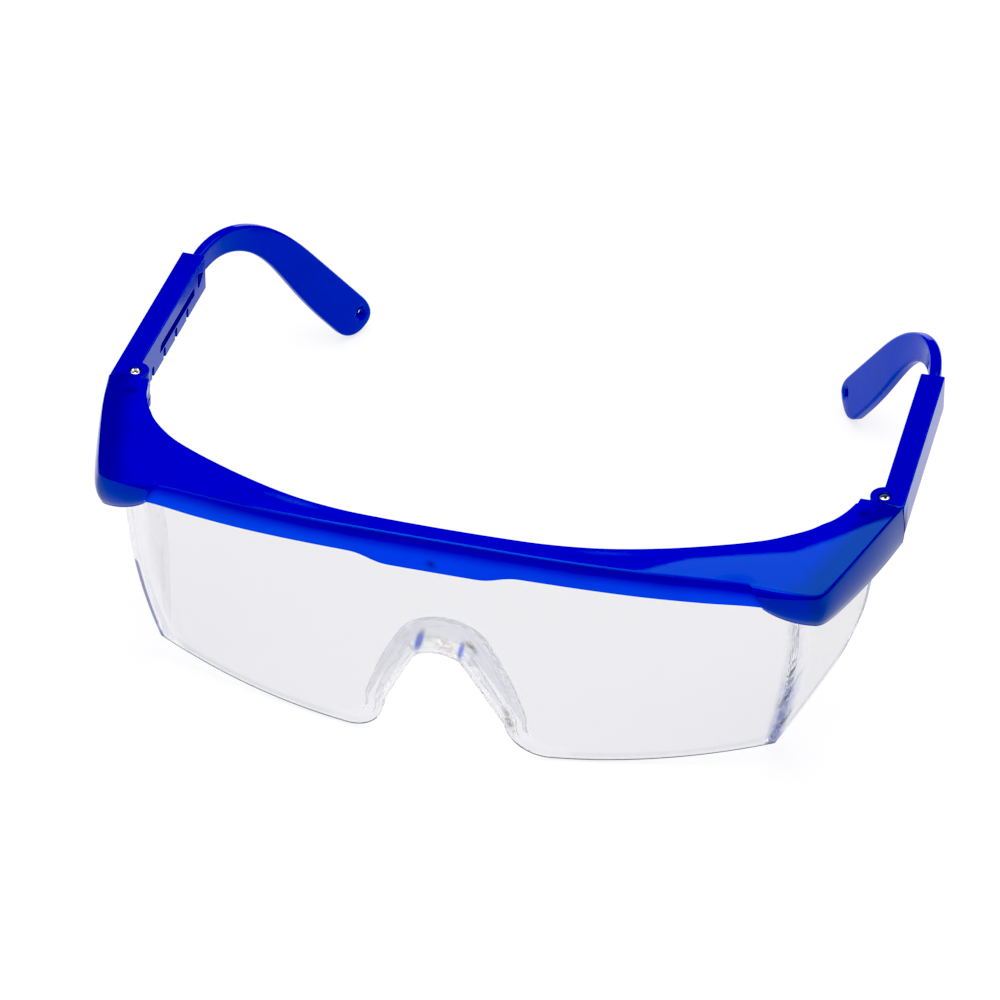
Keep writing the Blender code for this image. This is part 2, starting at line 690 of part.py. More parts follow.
def strap_ring(place, down, face, upper, lower, half, rounding):
    """Rounded strap section from upper to lower along down, half thick each way along face."""
    ring = []
    for edge, inward in ((upper, 1), (lower, -1)):
        corner, shoulder = edge + inward * rounding, edge + inward * rounding * 0.25
        side, shoulder_side = inward * half, inward * (half - rounding * 0.6)
        for across, out in ((corner, -side), (shoulder, -shoulder_side), (edge, 0.0),
                            (shoulder, shoulder_side), (corner, side)):
            ring.append(place + down * across + face * out)
    return ring


def bar_section(y):
    place = np.array([CHANNEL_MID_X, y, CHANNEL_MID_Z + BAR_H / 2])
    return toe(strap_ring(place, -Z_AXIS, -X_AXIS, 0.0, BAR_H, BAR_W / 2, BAR_ROUND))


def hook_section(s):
    place, _, face, down = hook_path(s)
    width = HOOK_START_WIDTH + (HOOK_WIDTH - HOOK_START_WIDTH) * smoothstep(7.0, 53.0, s)
    half = BAR_W / 2 + (HOOK_THICK - BAR_W) / 2 * smoothstep(0.0, 5.0, s)
    trim = 0.0
    to_tip = HOOK_LENGTH - s
    if to_tip < TIP_LENGTH:
        share = 1 - to_tip / TIP_LENGTH
        trim = quarter_round(share)
        half *= 1 - TIP_THINNING * share ** 4
    return strap_ring(place, down, face, TIP_CUT_TOP * trim, width - TIP_CUT_LOW * trim,
                      half, min(HOOK_ROUND, half * 0.6))


def build_hook(mat):
    tip_angles = np.linspace(0.0, 0.985, 8) * math.pi / 2
    stops = np.concatenate([np.linspace(0.8, 40.0, 22), [44.0, 48.0, 52.0, HOOK_LENGTH - 6.5],
                            HOOK_LENGTH - TIP_LENGTH * (1 - np.sin(tip_angles))])
    sections = [bar_section(y) for y in BAR_Y] + [hook_section(float(s)) for s in stops]
    hook = mesh_object("ear_hook_left", loft(sections), mat, HOOK_ORIGIN)
    # cord hole near the tip, through the broad face
    place, along, face, down = hook_path(HOOK_LENGTH - HOLE_FROM_TIP)
    centre = place + down * HOLE_DOWN
    ends = [centre + face * reach for reach in (-HOLE_CUT, HOLE_CUT)]
    cut(hook, rod(ends, HOLE_R, 20, along, down))
    shade(hook)
    return hook


# ----------------------------------------------------------------- hinge screw
SCREW_R = 0.80
SCREW_Z = (-8.2, -0.7)
SCREW_HEAD_R = 1.1
SCREW_HEAD = (           # (z, radius) of the head's rings, from below
    (-0.72, SCREW_HEAD_R - 0.1), (-0.62, SCREW_HEAD_R), (-0.4, SCREW_HEAD_R - 0.1),
    (-0.25, SCREW_HEAD_R * 0.7), (-0.18, SCREW_HEAD_R * 0.3),
)
CROSS_LONG, CROSS_SHORT = 0.75, 0.2      # half sizes of each arm of the cross recess
CROSS_Z = (-0.48, 1.0)


def build_screw(mat):
    screw = mesh_object("hinge_screw_left", hinge_rod(SCREW_Z, SCREW_R, 24), mat, HINGE_ORIGIN)
    add(screw, loft([circle(np.array([HINGE_X, HINGE_Y, z]), radius, 24)
                     for z, radius in SCREW_HEAD]))
    for dx, dy in ((CROSS_LONG, CROSS_SHORT), (CROSS_SHORT, CROSS_LONG)):
        cut(screw, box((HINGE_X - dx, HINGE_X + dx), (HINGE_Y - dy, HINGE_Y + dy), CROSS_Z))
    shade(screw)
    return screw


def main():
    clear_scene()
    blue, clear, steel = frame_blue(), lens_clear(), screw_steel()
    build_brow_frame(blue)
    build_lens(clear)
    mirrored(build_sleeve(blue), "temple_sleeve_right")
    mirrored(build_hook(blue), "ear_hook_right")
    mirrored(build_screw(steel), "hinge_screw_right")


main()
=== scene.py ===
"""Looks of the safety spectacles: finished surfaces, materials, light and camera.

Shapes are worked out in a design frame in millimetres: X to the wearer's left, Y from
the lens back to the ears, Z up, zero at the top outer hinge corners.  Two offsets read
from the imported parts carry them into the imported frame, in metres.
"""

import math

import bmesh
import bpy
import numpy as np
from mathutils import Matrix, Vector


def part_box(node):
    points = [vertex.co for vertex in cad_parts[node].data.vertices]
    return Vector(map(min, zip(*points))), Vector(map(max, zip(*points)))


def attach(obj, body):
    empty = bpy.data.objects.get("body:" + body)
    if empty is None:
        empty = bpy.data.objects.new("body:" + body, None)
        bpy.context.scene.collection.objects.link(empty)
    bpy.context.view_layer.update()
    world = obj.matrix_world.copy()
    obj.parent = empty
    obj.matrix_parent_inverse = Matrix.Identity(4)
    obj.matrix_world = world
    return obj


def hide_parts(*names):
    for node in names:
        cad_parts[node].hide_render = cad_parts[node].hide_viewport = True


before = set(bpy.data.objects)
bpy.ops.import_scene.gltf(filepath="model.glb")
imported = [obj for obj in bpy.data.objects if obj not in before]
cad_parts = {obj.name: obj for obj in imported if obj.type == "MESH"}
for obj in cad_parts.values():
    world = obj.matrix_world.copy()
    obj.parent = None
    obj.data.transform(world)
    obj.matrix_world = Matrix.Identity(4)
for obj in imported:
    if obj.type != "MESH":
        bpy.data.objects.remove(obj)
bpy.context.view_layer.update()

MM = 0.001

# ------------------------------------------------------------ design constants
TONGUE_R = 2.55
HINGE_X, HINGE_Y = 74.7, 3.1
LENS_LOW_Z = -43.9
DATUM_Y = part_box("brow_frame")[1].y / MM - (HINGE_Y + TONGUE_R)
DATUM_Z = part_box("lens")[0].z / MM - LENS_LOW_Z

# lens: a curved front, a tight fold at each side and a shield running back from it
LENS_THICK = 1.9
LENS_VERTEX_Y = -47.2
LENS_RADIUS_H = 131.0
LENS_RADIUS_V = 165.0
LENS_LEAN = 0.039
LENS_CORNER_Z = -40.6
LENS_LOW_X = (22.0, 61.5)        # the bottom edge rises between these
LENS_ROWS = 34
LENS_EDGE_BULGE = 0.16
FOLD_X = 66.2
FOLD_RADIUS_V = 131.0
FOLD_TOP_Z = -5.0
SHIELD_FLARE = 0.268
SHIELD_REAR_Y = 0.6
SHIELD_RISE = 7.6
SHIELD_ROUND_START, SHIELD_ROUND_RISE = 0.74, 9.0    # rounded lower rear corner

NOSE_HALF_W = 17.6
NOSE_TOP_Z = -16.6
NOSE_TOP_HALF_W = 4.6
NOSE_ARCH_DROP = 1.9
NOSE_ARCH_TURN = math.radians(68)
NOSE_RIM_DEPTH = (6.2, 0.7)      # at the middle and at the feet
NOSE_RIM_FLARE = (1.9, 2.5, 1.1)  # at the middle, half way and at the feet
NOSE_RIM_THICK = 2.2
NOSE_RIM_ROUND = 0.6

# brow frame
PLATE_THICK = 2.1
WALL = 1.7
LENS_GAP = 0.45
CAP_STEP = 0.45
CAP_BULGE = 0.8
LIP_BULGE = 0.36
CREASE_CUT = 0.26
# bulge of the front wall: (share of the way down, share of the bulge)
CAP_PROFILE = ((0.05, 0.12), (0.20, 0.55), (0.36, 0.86), (0.52, 1.0), (0.68, 0.92), (0.84, 0.60))
LIP_PROFILE = ((0.10, 0.42), (0.22, 0.80), (0.36, 0.97), (0.52, 1.0), (0.68, 0.93), (0.84, 0.66))
SCALLOP_HALF_W = 12.6
SCALLOP_BLEND = 3.2
SCALLOP_DROP = 1.7
PEG_R = 1.2
PEG_X, PEG_Y = 73.2, -6.2
NOSE_PEG_Z = 7.6

# hinge
LUG_R = 2.8
LUG_LOW_Z = -8.4
TONGUE_ROOT_Y = -1.2
TONGUE_SOFT = 0.18
TONGUE_Z = (-6.3, -4.2)
SLOT_Z = (-6.6, -3.9)
SCREW_R, SCREW_HOLE_R = 0.80, 0.90
SCREW_HEAD_R, SCREW_SINK_R, SCREW_SINK = 1.1, 1.3, 0.95

# temple sleeves
TOE_IN = math.radians(2.0)
SLEEVE_W, SLEEVE_H = 4.8, 7.9
SLEEVE_Y = (0.35, 42.8)
SLEEVE_OUT_X = 79.0
SLEEVE_IN_X = SLEEVE_OUT_X - SLEEVE_W
CHANNEL_X = (75.45, 78.05)
CHANNEL_Z = (-6.75, -1.05)
CHANNEL_Y = 7.6
NOTCH_PITCH, NOTCH_FIRST_Y, NOTCH_COUNT = 6.7, 11.5, 4
VIEW_SLOT_Y, VIEW_SLOT_Z = (15.6, 36.0), (-5.0, -3.2)

# ear hooks: a bar inside the sleeve, then a strap that turns inwards and down
BAR_W, BAR_H = 2.0, 5.0
BAR_Y = 9.0
HOOK_LENGTH = 62.3
HOOK_YAW, HOOK_DROP = math.radians(48.0), math.radians(52.5)
YAW_START, YAW_RUN = -5.0, 40.0
DROP_START, DROP_RUN = 1.2, 39.5
HOOK_LEAN = 0.5
HOOK_WIDTH = 8.9
HOOK_THICK = 2.4
HOOK_TIP = 5.0                   # length of the rounded tip
HOLE_R = 0.8
HOLE_FROM_TIP, HOLE_FROM_TOP = 2.9, 2.7
HOOK_START_X, HOOK_START_Z = 75.3, -1.4

# camera and light
CAMERA_TURN, CAMERA_TILT = math.radians(15.42), math.radians(38.0)
CAMERA_AT = (283.0, -1027.0, 818.0)
FLOOR_GLOW = 0.735
FLOOR_MIRROR_LOSS = 0.12         # how much dimmer the floor is in reflections
WORLD_FILL = 0.62

# Guide lines of the brow frame, (x, y, z), from the middle to the left end.  Rows are
# stations: the same row number in every table makes one section.
CREASE = [(0, -49.1, 13.5), (10, -48.85, 13.3), (20, -48.0, 12.65), (30, -46.5, 11.7),
          (40, -44.0, 10.2), (50, -40.2, 7.9), (57.9, -36.2, 5.1), (65.0, -34.1, 3.3),
          (69.4, -32.3, 2.2), (71.2, -30.0, 1.9), (73.6, -22.4, 1.9), (76.8, -10.2, 1.7),
          (78.9, 0.0, 0.5)]
REAR = [(0, -44.0, 12.3), (10, -43.5, 12.0), (20, -41.7, 10.9), (30, -38.2, 9.3),
        (40, -33.6, 7.9), (50, -28.6, 7.0), (57.5, -23.9, 6.1), (61.6, -20.0, 5.3),
        (64.6, -16.0, 4.2), (66.2, -13.2, 3.6), (68.0, -9.6, 2.6), (69.6, -5.2, 1.8),
        (70.7, 0.0, 0.9)]
LOWER = [(0, -49.0, 7.1), (10, -48.6, 6.8), (20, -47.4, 5.95), (30, -45.4, 4.6),
         (40, -42.7, 2.95), (50, -39.4, 1.25), (60.3, -35.6, -0.6), (64.4, -34.3, -3.4),
         (68.6, -32.3, -5.3), (71.1, -30.0, -6.0), (73.9, -22.4, -6.6), (77.2, -10.2, -7.3),
         (79.2, 0.0, -8.0)]
# the end cap's own lower edge leaves the lip at a steeper angle
CAP_STATION = 6.0
CAP_LOWER = LOWER[:5] + [(57.6, -36.7, 3.4)] + LOWER[6:]
END_STATION = len(LOWER) - 1.0
END_STATION_RUN = 10.2           # Y length of the last station step
# last sections of the brow frame: (y, height of the bead along the top edge)
END_BEAD = ((-2.6, 0.0), (-1.2, 0.0), (-0.72, 0.0), (-0.5, 0.04), (-0.28, 0.07), (0.0, 0.03))


# -------------------------------------------------------------------- helpers
def smoothstep(low, high, x):
    share = np.clip((np.asarray(x, float) - low) / (high - low), 0.0, 1.0)
    return share * share * (3.0 - 2.0 * share)


def fall(low, high, x):
    return 1 - smoothstep(low, high, x)


def mix(start, end, share):
    return start + (end - start) * share


def spline(table, station):
    """Point on a smooth curve through the rows, at a fractional row number."""
    rows = np.asarray(table, float)
    count = len(rows)
    i = int(min(max(math.floor(station), 0), count - 2))
    part = station - i
    here, after = rows[i], rows[i + 1]
    before = rows[i - 1] if i > 0 else 2 * here - after
    beyond = rows[i + 2] if i + 2 < count else 2 * after - here
    return 0.5 * (2 * here + (after - before) * part
                  + (2 * before - 5 * here + 4 * after - beyond) * part * part
                  + (3 * here - before - 3 * after + beyond) * part ** 3)


def raised(height):
    return np.array([0, 0, height])


def quarter(steps):
    """(sine, cosine) pairs through a right angle."""
    angles = [math.pi / 2 * k / steps for k in range(steps + 1)]
    return [(math.sin(angle), math.cos(angle)) for angle in angles]


def circle(steps):
    """(cosine, sine) pairs round a full turn."""
    angles = [2 * math.pi * i / steps for i in range(steps)]
    return [(math.cos(angle), math.sin(angle)) for angle in angles]


def metre_object(name, points, faces):
    mesh = bpy.data.meshes.new(name)
    mesh.from_pydata(points, [], faces)
    bm = bmesh.new()
    bm.from_mesh(mesh)
    bmesh.ops.remove_doubles(bm, verts=bm.verts, dist=1e-6)
    bmesh.ops.recalc_face_normals(bm, faces=bm.faces)
    bm.to_mesh(mesh)
    bm.free()
    obj = bpy.data.objects.new(name, mesh)
    bpy.context.scene.collection.objects.link(obj)
    return obj


def mesh_object(name, points, faces):
    """Object from points in the design frame."""
    placed = [(x * MM, (y + DATUM_Y) * MM, (z + DATUM_Z) * MM) for x, y, z in points]
    return metre_object(name, placed, faces)


# Shapes are passed around as (points, faces) until they become objects.
def skin(rings):
    """Quads between successive closed rings."""
    points = [point for ring in rings for point in ring]
    count = len(rings[0])
    faces = []
    for k in range(len(rings) - 1):
        for i in range(count):
            j = (i + 1) % count
            faces.append((k * count + i, k * count + j, (k + 1) * count + j, (k + 1) * count + i))
    return points, faces


def loft(rings):
    """Closed solid through the rings."""
    points, faces = skin(rings)
    count = len(rings[0])
    faces.append(tuple(range(count)))
    faces.append(tuple((len(rings) - 1) * count + i for i in reversed(range(count))))
    return points, faces


def join_shapes(*shapes):
    points, faces = [], []
    for more_points, more_faces in shapes:
        start = len(points)
        points += list(more_points)
        faces += [tuple(i + start for i in face) for face in more_faces]
    return points, faces


def box_shape(x_range, y_range, z_range):
    points = [(x, y, z) for x in x_range for y in y_range for z in z_range]
    return points, [(0, 1, 3, 2), (4, 6, 7, 5), (0, 4, 5, 1),
                    (2, 3, 7, 6), (0, 2, 6, 4), (1, 5, 7, 3)]


def turned(x, y, profile, steps=48):
    """Solid turned about a vertical axis, from (z, radius) pairs."""
    return loft([[(x + radius * cosine, y + radius * sine, z) for cosine, sine in circle(steps)]
                 for z, radius in profile])


def bake(obj):
    """Apply every modifier."""
    bpy.context.view_layer.update()
    graph = bpy.context.evaluated_depsgraph_get()
    mesh = bpy.data.meshes.new_from_object(
        obj.evaluated_get(graph), preserve_all_data_layers=True, depsgraph=graph)
    obj.modifiers.clear()
    old = obj.data
    obj.data = mesh
    bpy.data.meshes.remove(old)


def combine(target, shape, operation):
    helper = mesh_object("helper", *shape)
    mod = target.modifiers.new("cut", "BOOLEAN")
    mod.operation = operation
    mod.solver = "EXACT"
    mod.object = helper
    bake(target)
    bpy.data.objects.remove(helper, do_unlink=True)


def subdivide(obj, levels):
    mod = obj.modifiers.new("sub", "SUBSURF")
    mod.levels = mod.render_levels = levels
    bake(obj)


def shade(obj, sharp=32.0):
    """Smooth shading, hard edges above the sharp angle, and face-weighted normals."""
    obj.data.shade_smooth()
    obj.data.set_sharp_from_angle(angle=math.radians(sharp))
    mod = obj.modifiers.new("normals", "WEIGHTED_NORMAL")
    mod.mode = "FACE_AREA"
    mod.weight = 50
    mod.keep_sharp = True
    bake(obj)


def mirrored(obj, name):
    mesh = obj.data.copy()
    mesh.name = name
    bm = bmesh.new()
    bm.from_mesh(mesh)
    for vert in bm.verts:
        vert.co.x = -vert.co.x
    bmesh.ops.reverse_faces(bm, faces=bm.faces)
    bm.to_mesh(mesh)
    bm.free()
    other = bpy.data.objects.new(name, mesh)
    bpy.context.scene.collection.objects.link(other)
    shade(other)
    return other


def both_sides(half):
    """Rows of points for the right side, then the given middle and left rows."""
    flip = np.array([-1.0, 1.0, 1.0])
    return [[point * flip for point in row] for row in reversed(half[1:])] + half


def toe(points):
    """Turn points about the hinge axis by the toe-in angle."""
    cosine, sine = math.cos(TOE_IN), math.sin(TOE_IN)
    out = []
    for x, y, z in points:
        dx, dy = x - HINGE_X, y - HINGE_Y
        out.append((HINGE_X + cosine * dx - sine * dy, HINGE_Y + sine * dx + cosine * dy, z))
    return out


def toed(shape):
    return toe(shape[0]), shape[1]


# ----------------------------------------------------------------- materials
class Nodes:
    """Small helper for building the node tree of a material or world."""

    def __init__(self, owner, output):
        owner.use_nodes = True
        self.tree = owner.node_tree
        self.tree.nodes.clear()
        self.out = self.add(output)

    def add(self, kind, inputs=None, **settings):
        """New node; each input takes a plain value or a socket to link."""
        node = self.tree.nodes.new(kind)
        for key, value in settings.items():
            setattr(node, key, value)
        for key, value in (inputs or {}).items():
            if isinstance(value, bpy.types.NodeSocket):
                self.tree.links.new(value, node.inputs[key])
            else:
                node.inputs[key].default_value = value
        return node

    def finish(self, node):
        self.tree.links.new(node.outputs[0], self.out.inputs["Surface"])

    def maths(self, operation, first, second):
        return self.add("ShaderNodeMath", {0: first, 1: second}, operation=operation).outputs[0]

    def most(self, value, *others):
        for other in others:
            value = self.maths("MAXIMUM", value, other)
        return value

    def blend(self, share, start, end, data_type="RGBA"):
        inputs = {"Factor": share, "A": start, "B": end}
        return self.add("ShaderNodeMix", inputs, data_type=data_type).outputs["Result"]

    def noise(self, place, scale, detail, roughness):
        inputs = {"Scale": scale, "Detail": detail, "Roughness": roughness, "Vector": place}
        return self.add("ShaderNodeTexNoise", inputs).outputs["Fac"]

    def spread(self, value, source, target=(0.0, 1.0), shape="LINEAR"):
        """Map the source range onto the target range."""
        inputs = {"Value": value, "From Min": source[0], "From Max": source[1],
                  "To Min": target[0], "To Max": target[1]}
        return self.add("ShaderNodeMapRange", inputs, interpolation_type=shape).outputs["Result"]

    def painted(self, name):
        return self.add("ShaderNodeAttribute", attribute_name=name).outputs["Fac"]

    def bump(self, height, strength, distance):
        inputs = {"Strength": strength, "Distance": distance, "Height": height}
        return self.add("ShaderNodeBump", inputs).outputs["Normal"]

    def mix_shaders(self, share, first, second):
        inputs = {0: share, 1: first.outputs[0], 2: second.outputs[0]}
        return self.add("ShaderNodeMixShader", inputs)


def material(name):
    mat = bpy.data.materials.new(name)
    nodes = Nodes(mat, "ShaderNodeOutputMaterial")
    return mat, nodes, nodes.add("ShaderNodeTexCoord").outputs["Object"]


def blue_plastic():
    """Glossy moulded plastic: deep cobalt, a painted backlight of azure where light would come through a
    slender wall and a painted shade towards near black where the frame is thick or in shade, with fine
    orange peel and faint flow clouding."""
    mat, nodes, place = material("blue_frame_moulding")
    painted_backlight = nodes.painted("painted_backlight")
    clouding = nodes.noise(place, scale=90.0, detail=3.0, roughness=0.55)
    cloud = nodes.spread(clouding, source=(0.3, 0.7))
    cobalt = nodes.blend(cloud, start=(0.0004, 0.0002, 0.415, 1), end=(0.0006, 0.0006, 0.465, 1))
    # painted backlight: the lip's lighter azure stands in for light coming through it
    azure = nodes.blend(cloud, start=(0.0004, 0.040, 0.70, 1), end=(0.0006, 0.050, 0.77, 1))
    colour = nodes.blend(painted_backlight, cobalt, azure)
    # painted shade: the thick mask darkens the colour towards near black
    colour = nodes.blend(nodes.painted("thick"), start=colour, end=(0.0003, 0.0012, 0.10, 1))
    speck = nodes.noise(place, scale=1400.0, detail=4.0, roughness=0.6)
    # moulded lips and hooks are a little less shiny than the polished plate
    matt = nodes.painted("matt")
    peel = nodes.noise(place, scale=420.0, detail=2.0, roughness=0.5)
    relief = nodes.maths("ADD", nodes.maths("MULTIPLY", peel, 1.0),
                         nodes.maths("MULTIPLY", speck, 0.25))
    shiny = nodes.add("ShaderNodeBsdfPrincipled", {
        "Base Color": colour,
        "IOR": 1.5,
        "Roughness": nodes.spread(speck, source=(0.3, 0.7), target=(0.09, 0.15)),
        "Specular IOR Level": nodes.spread(matt, source=(0.0, 1.0), target=(0.5, 0.12)),
        "Specular Tint": (0.03, 0.6, 1.0, 1),
        "Normal": nodes.bump(relief, strength=0.10, distance=0.00006)})
    dull = nodes.add("ShaderNodeBsdfDiffuse", {"Color": colour})
    # the painted shadow in the gap to the sleeve is kept fully dull
    dull_share = nodes.most(nodes.maths("MULTIPLY", matt, 0.6), nodes.painted("seam_shade"))
    nodes.finish(nodes.mix_shaders(dull_share, shiny, dull))
    return mat


def clear_polycarbonate():
    """Clear refracting plastic that lets light through to the floor, faintly grey,
    with very fine wiping marks in its polish."""
    mat, nodes, place = material("clear_polycarbonate")
    wipe = nodes.noise(place, scale=260.0, detail=4.0, roughness=0.65)
    glass = nodes.add("ShaderNodeBsdfPrincipled", {
        # painted shade: a little darker glass colour on the left shield
        "Base Color": nodes.blend(nodes.painted("shield_shade"), start=(0.822, 0.817, 0.836, 1),
                                  end=(0.786, 0.781, 0.800, 1)),
        "Transmission Weight": 1.0,
        "IOR": 1.58,
        "Roughness": nodes.spread(wipe, source=(0.35, 0.75), target=(0.0, 0.035)),
        "Normal": nodes.bump(wipe, strength=0.02, distance=0.00005)})

    # tints of the see-through layer, one painted mask after another
    mottle = nodes.noise(place, scale=800.0, detail=2.0, roughness=0.5)
    ghost = nodes.maths("MULTIPLY", nodes.painted("ghost"),
                        nodes.spread(mottle, source=(0.38, 0.62), target=(0.72, 1.0)))
    veil = nodes.blend(ghost, start=(0.965, 0.965, 0.975, 1), end=(0.26, 0.29, 0.58, 1))
    # the painted refractions only show from the front
    backfacing = nodes.add("ShaderNodeNewGeometry").outputs["Backfacing"]
    front_only = nodes.maths("SUBTRACT", 1.0, backfacing)
    warm = nodes.maths("MULTIPLY", nodes.painted("warm"), front_only)
    bluish = nodes.maths("MULTIPLY", nodes.painted("bluish"), front_only)
    streak = nodes.noise(place, scale=900.0, detail=3.0, roughness=0.6)
    warmth = nodes.blend(nodes.spread(streak, source=(0.4, 0.6)),
                         start=(0.24, 0.20, 0.16, 1), end=(0.90, 0.84, 0.75, 1))
    veil = nodes.blend(warm, veil, warmth)
    veil = nodes.blend(bluish, veil, end=(0.13, 0.20, 0.72, 1))
    # painted shade: the bottom edge reads as a fine grey line; painted reflection: the crest of the far
    # fold reads as lilac
    edge = nodes.spread(nodes.painted("edge"), source=(0.70, 0.84))
    veil = nodes.blend(edge, veil, end=(0.20, 0.20, 0.25, 1))
    crest = nodes.spread(nodes.painted("crest"), source=(0.55, 0.80))
    veil = nodes.blend(crest, veil, end=(0.22, 0.22, 0.46, 1))
    see_through = nodes.add("ShaderNodeBsdfTransparent", {"Color": veil})

    path = nodes.add("ShaderNodeLightPath")
    lit_through = nodes.most(path.outputs["Is Shadow Ray"], path.outputs["Is Diffuse Ray"])
    # how far each mask replaces the glass
    share = nodes.most(nodes.maths("MULTIPLY", ghost, 0.78), nodes.painted("faint"),
                       nodes.maths("MULTIPLY", nodes.most(bluish, warm), 0.9),
                       nodes.maths("MULTIPLY", nodes.most(edge, crest), 0.8))
    nodes.finish(nodes.mix_shaders(nodes.most(lit_through, share), glass, see_through))
    return mat


def screw_steel():
    """Plated steel with fine grain, rubbed spots and painted shade in the cross recess."""
    mat, nodes, place = material("plated_steel")
    grain = nodes.noise(place, scale=9000.0, detail=3.0, roughness=0.6)
    tone = nodes.noise(place, scale=1500.0, detail=2.0, roughness=0.5)
    plated = nodes.blend(tone, start=(0.40, 0.37, 0.29, 1), end=(0.86, 0.84, 0.79, 1))
    nodes.finish(nodes.add("ShaderNodeBsdfPrincipled", {
        "Base Color": nodes.blend(nodes.painted("recess"), plated, end=(0.05, 0.05, 0.06, 1)),
        "Metallic": 1.0,
        "Roughness": nodes.spread(grain, source=(0.3, 0.7), target=(0.22, 0.42)),
        "Normal": nodes.bump(grain, strength=0.25, distance=0.00003)}))
    return mat


# ------------------------------------------------------------------ lens shape
def lens_y(x, z):
    """Outer face of the lens front."""
    return (LENS_VERTEX_Y + x * x / (2 * LENS_RADIUS_H) - LENS_LEAN * z
            + z * z / (2 * LENS_RADIUS_V))


def fold_x(z):
    below = np.maximum(FOLD_TOP_Z - z, 0.0)
    return FOLD_X - below * below / (2 * FOLD_RADIUS_V)


def shield_x(y, z):
    """Outer face of the left shield."""
    return fold_x(z) + SHIELD_FLARE * (y - lens_y(fold_x(z), z))


def traced(table):
    """Close points along a guide line."""
    return np.array([spline(table, station) for station in np.linspace(0, len(CREASE) - 1, 400)])


CREASE_LINE = traced(CREASE)


def plate_z(x):
    return np.interp(np.abs(x), CREASE_LINE[:, 0], CREASE_LINE[:, 2])


# ------------------------------------------------------------------ brow frame
CREASE_SUPPORT = 0.10            # distance of the support points beside the crease
INNER_LIFT = 0.25                # the cap's inner wall starts this far above its edge
LIP_LIFT = 0.15
LIP_INSET = 0.4
ROOF_EXTRA = 0.2                 # the cap's wall is this much thicker at the roof
REAR_THIN = 0.2                  # the plate is this much thinner at the rear edge
LENS_BEHIND_X = 66.0             # inside this X the lens passes behind the frame
END_RIB_W, END_RIB_H = 0.9, 3.4


def edge_loop(corners, radii, middles):
    """Closed section with support points beside every corner.  middles[i] lists the
    points between corner i and the next one, as fractions or as ready points."""
    out = []
    count = len(corners)
    for i in range(count):
        start, end = corners[i], corners[(i + 1) % count]
        run = end - start
        length = np.linalg.norm(run)
        along = run / max(length, 1e-9)
        out.append(start)
        out.append(start + along * min(radii[i], length * 0.3))
        for middle in middles[i]:
            out.append(start + run * middle if np.isscalar(middle) else middle)
        out.append(end - along * min(radii[(i + 1) % count], length * 0.3))
    return out


def brow_corners(station, cap):
    """Section parts: top, wall points, low, inner low, inner top, under, rear."""
    lower_line = CAP_LOWER if cap else LOWER
    top, rear, low = (spline(table, station) for table in (CREASE, REAR, lower_line))
    if station < 1e-6:
        outward = np.array([0.0, -1.0, 0.0])
    else:
        run = (spline(LOWER, station + 0.05) - spline(LOWER, station - 0.05))[:2]
        run = run / np.linalg.norm(run)
        outward = np.array([run[1], -run[0], 0.0])
    low = low - raised(SCALLOP_DROP * fall(SCALLOP_HALF_W - SCALLOP_BLEND,
                                           SCALLOP_HALF_W + SCALLOP_BLEND, low[0]))
    inner_roof = top - raised(PLATE_THICK)
    if cap:
        # step and bulge fade towards the hinge
        step = CAP_STEP * (1.0 - 0.7 * smoothstep(8.0, 10.0, station))
        bulge = CAP_BULGE * (1.0 - 0.55 * smoothstep(9.0, 12.0, station))
        profile = CAP_PROFILE
        inner = [low - outward * WALL + raised(INNER_LIFT),
                 inner_roof - outward * (WALL + ROOF_EXTRA)]
        for point in inner:
            if point[0] < LENS_BEHIND_X:
                point[1] = min(point[1], lens_y(point[0], point[2]) - LENS_GAP)
    else:
        step, bulge, profile = 0.0, LIP_BULGE, LIP_PROFILE
        inner = []
        for point in (low, inner_roof):
            x, z = point[0] - LIP_INSET * outward[0], point[2]
            inner.append(np.array([x, lens_y(x, z) - LENS_GAP, z]))
        inner[0][2] = low[2] + LIP_LIFT
    wall = [top + (low - top) * down + outward * (step + bulge * swell)
            for down, swell in profile]
    under = rear - raised(PLATE_THICK - REAR_THIN)
    return top, wall, low + outward * step, inner[0], inner[1], under, rear


def brow_ring(parts, crown_height, bead=0.0):
    """Closed ring; the crease keeps a tight radius, the rear edge a fuller one."""
    top, wall, low, inner_low, inner_top, under, rear = parts
    top, rear = top + raised(bead), rear + raised(bead)
    behind, below = rear - top, wall[0] - top
    back_edge = top + behind / np.linalg.norm(behind) * CREASE_CUT
    wall_edge = top + below / np.linalg.norm(below) * CREASE_CUT
    crown = raised(crown_height)
    # 6.75 brings the highest point of the crown curve to the full crown height
    plate = [rear + (back_edge - rear) * share + crown * (6.75 * share * share * (1 - share))
             for share in (0.2, 0.4, 0.6, 0.76, 0.88)]
    return edge_loop([wall_edge, low, inner_low, inner_top, under, rear, back_edge],
                     [CREASE_SUPPORT, 0.34, 0.3, 0.3, 0.3, 0.2, CREASE_SUPPORT],
                     [wall, [0.5], [0.5], [0.35, 0.65], [0.5], plate, [0.5]])


def end_parts(y):
    """Section near the hinge, flattened to one Y, with a full-height inner face."""
    top, wall, low, _, _, _, rear = brow_corners(END_STATION + y / END_STATION_RUN, True)

    def flat(point):
        return np.array([point[0], y, point[2]])

    inner_x = rear[0]
    inner_low = np.array([inner_x + END_RIB_W, y, low[2] + 0.05])
    inner_top = np.array([inner_x + END_RIB_W, y, low[2] + END_RIB_H])
    under = np.array([inner_x, y, rear[2] - 2 * PLATE_THICK + REAR_THIN])
    return flat(top), [flat(point) for point in wall], flat(low), inner_low, inner_top, under, flat(rear)


def crown_at(station):
    """How far the top of the plate is crowned across its width."""
    grown = 0.4 * float(smoothstep(2.0, 4.5, station))
    return 0.15 + grown * (1 - 0.5 * float(smoothstep(9.5, 12.0, station)))


